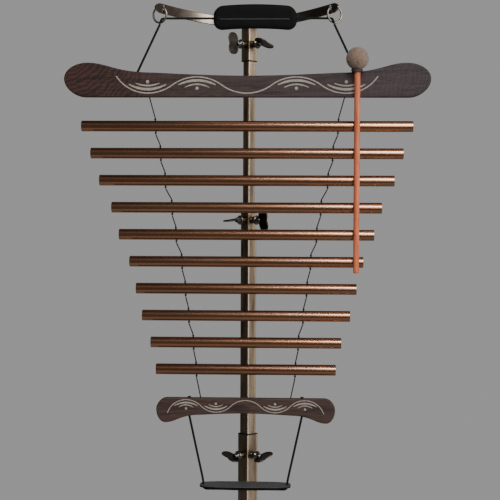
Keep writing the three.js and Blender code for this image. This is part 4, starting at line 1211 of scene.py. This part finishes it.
rise = sqrt(MALLET_RADIUS ** 2 - MALLET_FLAT ** 2)
start = -acos(MALLET_FLAT / MALLET_RADIUS)
socket, bore = HANDLE_IN_HEAD + GAP, HANDLE_RADIUS + GAP
profile = [(0, socket), (bore, socket), (bore, 0)]
profile += [(MALLET_RADIUS * cos(t), rise + MALLET_RADIUS * sin(t))
            for t in (start + (pi / 2 - start) * i / 40 for i in range(40))]
profile += [(0, rise + MALLET_RADIUS)]
points, faces = lathe(profile, 72)
ball = Vector((0, 0, rise))
for i, p in enumerate(points):
    if (p - ball).length > MALLET_RADIUS - 0.01:
        points[i] = ball + (p - ball) * (1 + FELT_NAP * (noise.fractal(p / 3, 1.0, 2.0, 4) - 1))
felt_ball = shifted((points, faces), mallet.x, mallet.y, foot_of("mallet_head"))
stand_in("mallet_head", felt_ball, FELT, 70)

link_low, link_high = (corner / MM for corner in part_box("mallet_link"))
LINK_DROOP = link_high.z - link_low.z - LINK_THICKNESS
LINK_HALF = (link_high.y - link_low.y) / 2
LINK_SPAN = 2 * LINK_HALF - LINK_WIDTH
SPAN_LEFT = LINK_SPAN - LINK_WIDTH


def link_edge(along, side):
    """The link is a strap with round ends."""
    over = max(abs(along) - LINK_SPAN / 2, 0)
    return side * sqrt(max((LINK_WIDTH / 2) ** 2 - over ** 2, 0.0001))


def link_faces(along, across):
    """The strap lies level behind and bends down to the mallet."""
    share = max(0.0, min((along + SPAN_LEFT / 2) / SPAN_LEFT, 1.0))
    sink = LINK_DROOP * share * share * (3 - 2 * share)
    inside = min(link_edge(along, 1) - abs(across), LINK_HALF - abs(along))
    edge = LINK_EDGE * (1 - softened(inside, LINK_SOFT))
    return -sink - edge, -sink - LINK_THICKNESS + edge


to_player = (Matrix.Translation((mallet.x, (link_low.y + link_high.y) / 2, link_high.z))
             @ Matrix.Rotation(-pi / 2, 4, "Z"))
strap = moved(hide(LINK_HALF, link_edge, link_faces, 60, 24), to_player)
on_axis = Vector((mallet.x, mallet.y, link_low.z))
tall = Vector((0, 0, DRILL_REACH))
cord_foot = DROP_TOP + DROP_WAY * ((link_low.z - DROP_TOP.z) / DROP_WAY.z)
drilled(stand_in("mallet_link", strap, RUBBER, 50),
        (on_axis - tall, on_axis + tall * 2, 2 * bore),
        (cord_foot - DROP_WAY * 5 * DRILL_REACH, cord_foot + DROP_WAY * DRILL_REACH, THICK_CORD_SLEEVE))


# Studio: a pale floor, a grey room and soft lights, the strongest from the right

FLOOR_HALF = 1100
corners = [(x * FLOOR_HALF, y * FLOOR_HALF, 0) for x, y in ((-1, -1), (1, -1), (1, 1), (-1, 1))]
floor = placed("floor", (corners, [(0, 1, 2, 3)]))
pale = Finish("pale_floor", Roughness=0.8)
pale.colour(pale.ramp(pale.noise(4), (0.3, (176, 175, 172)), (0.7, (187, 186, 183))))
floor.data.materials.append(pale.material)

# The room is dark but for a glow from the player's right and a grey wall at the back. The eye sees plain grey
ROOM_SEEN = (153, 153, 153)
GLOW_FROM = Vector((0.86, -0.5, 0.1)).normalized()
world = bpy.data.worlds.new("room")
bpy.context.scene.world = world
room = Nodes(world)
outward = room.add("ShaderNodeTexCoord").outputs["Generated"]


def facing(towards, *stops):
    """Brightness by how far a way points towards a direction, from -1 to 1."""
    reach = room.add("ShaderNodeVectorMath", {0: outward, 1: towards}, operation="DOT_PRODUCT")
    share = room.between(reach.outputs["Value"], 0.0, 1.0, -1.0, 1.0)
    return room.ramp(share, *[((place + 1) / 2, value) for place, value in stops])


glow = facing(GLOW_FROM, (-1, 0.035), (0, 0.055), (0.5, 0.12), (0.78, 0.18),
              (0.87, 0.46), (0.94, 1.6), (1, 5))
back_wall = facing(Vector((0, 1, 0)), (-1, 0), (0.4, 0), (0.75, 0.15), (1, 0.17))
far_floor = facing(Vector((0, 0, -1)), (-1, 0), (0, 0), (0.35, 0.045), (0.7, 0.03), (1, 0))
lit = room.mix(1, room.mix(1, glow, back_wall, "ADD"), far_floor, "ADD")
camera_ray = room.add("ShaderNodeLightPath").outputs["Is Camera Ray"]
room.feed(world.node_tree.nodes["Background"].inputs["Color"], room.mix(camera_ray, lit, ROOM_SEEN))


def softbox(name, at, aim, width, height, power, lean=0.0):
    """A rectangle of light in metres and watts, turned about its own aim by lean."""
    light = bpy.data.lights.new(name, "AREA")
    light.shape = "RECTANGLE"
    light.size = width
    light.size_y = height
    light.energy = power
    lamp = bpy.data.objects.new(name, light)
    bpy.context.scene.collection.objects.link(lamp)
    lamp.visible_camera = False
    lamp.location = at
    lamp.rotation_mode = "QUATERNION"
    aimed = (Vector(aim) - Vector(at)).to_track_quat("-Z", "Y")
    lamp.rotation_quaternion = aimed @ Quaternion((0, 0, 1), lean)


softbox("window", (0.66, -3.0, 2.93), (0.1, -0.1, 0.85), 0.84, 2.0, 80, 0.05)
softbox("sill", (0.74, -3.0, 1.3), (0.1, -0.1, 0.85), 0.84, 1.0, 8)
softbox("fill", (-1.6, -1.9, 2.6), (0, -0.1, 0.8), 1.4, 1.4, 4.5)
softbox("left", (-2.2, -0.75, 1.5), (0, -0.1, 1.0), 1.0, 1.0, 1.6)
softbox("key", (2.2, -1.9, 1.7), (0, -0.1, 1.0), 1.0, 1.3, 10)
softbox("side", (2.4, 0.05, 0.4), (0, 0, 0.4), 1.2, 1.1, 1.1)
softbox("glint", (2.05, -0.46, 1.5), (-0.11, -0.08, 1.19), 0.37, 0.4, 2.3)
softbox("top", (0.3, -0.2, 2.8), (0, 0, 0.8), 1.0, 1.0, 2)
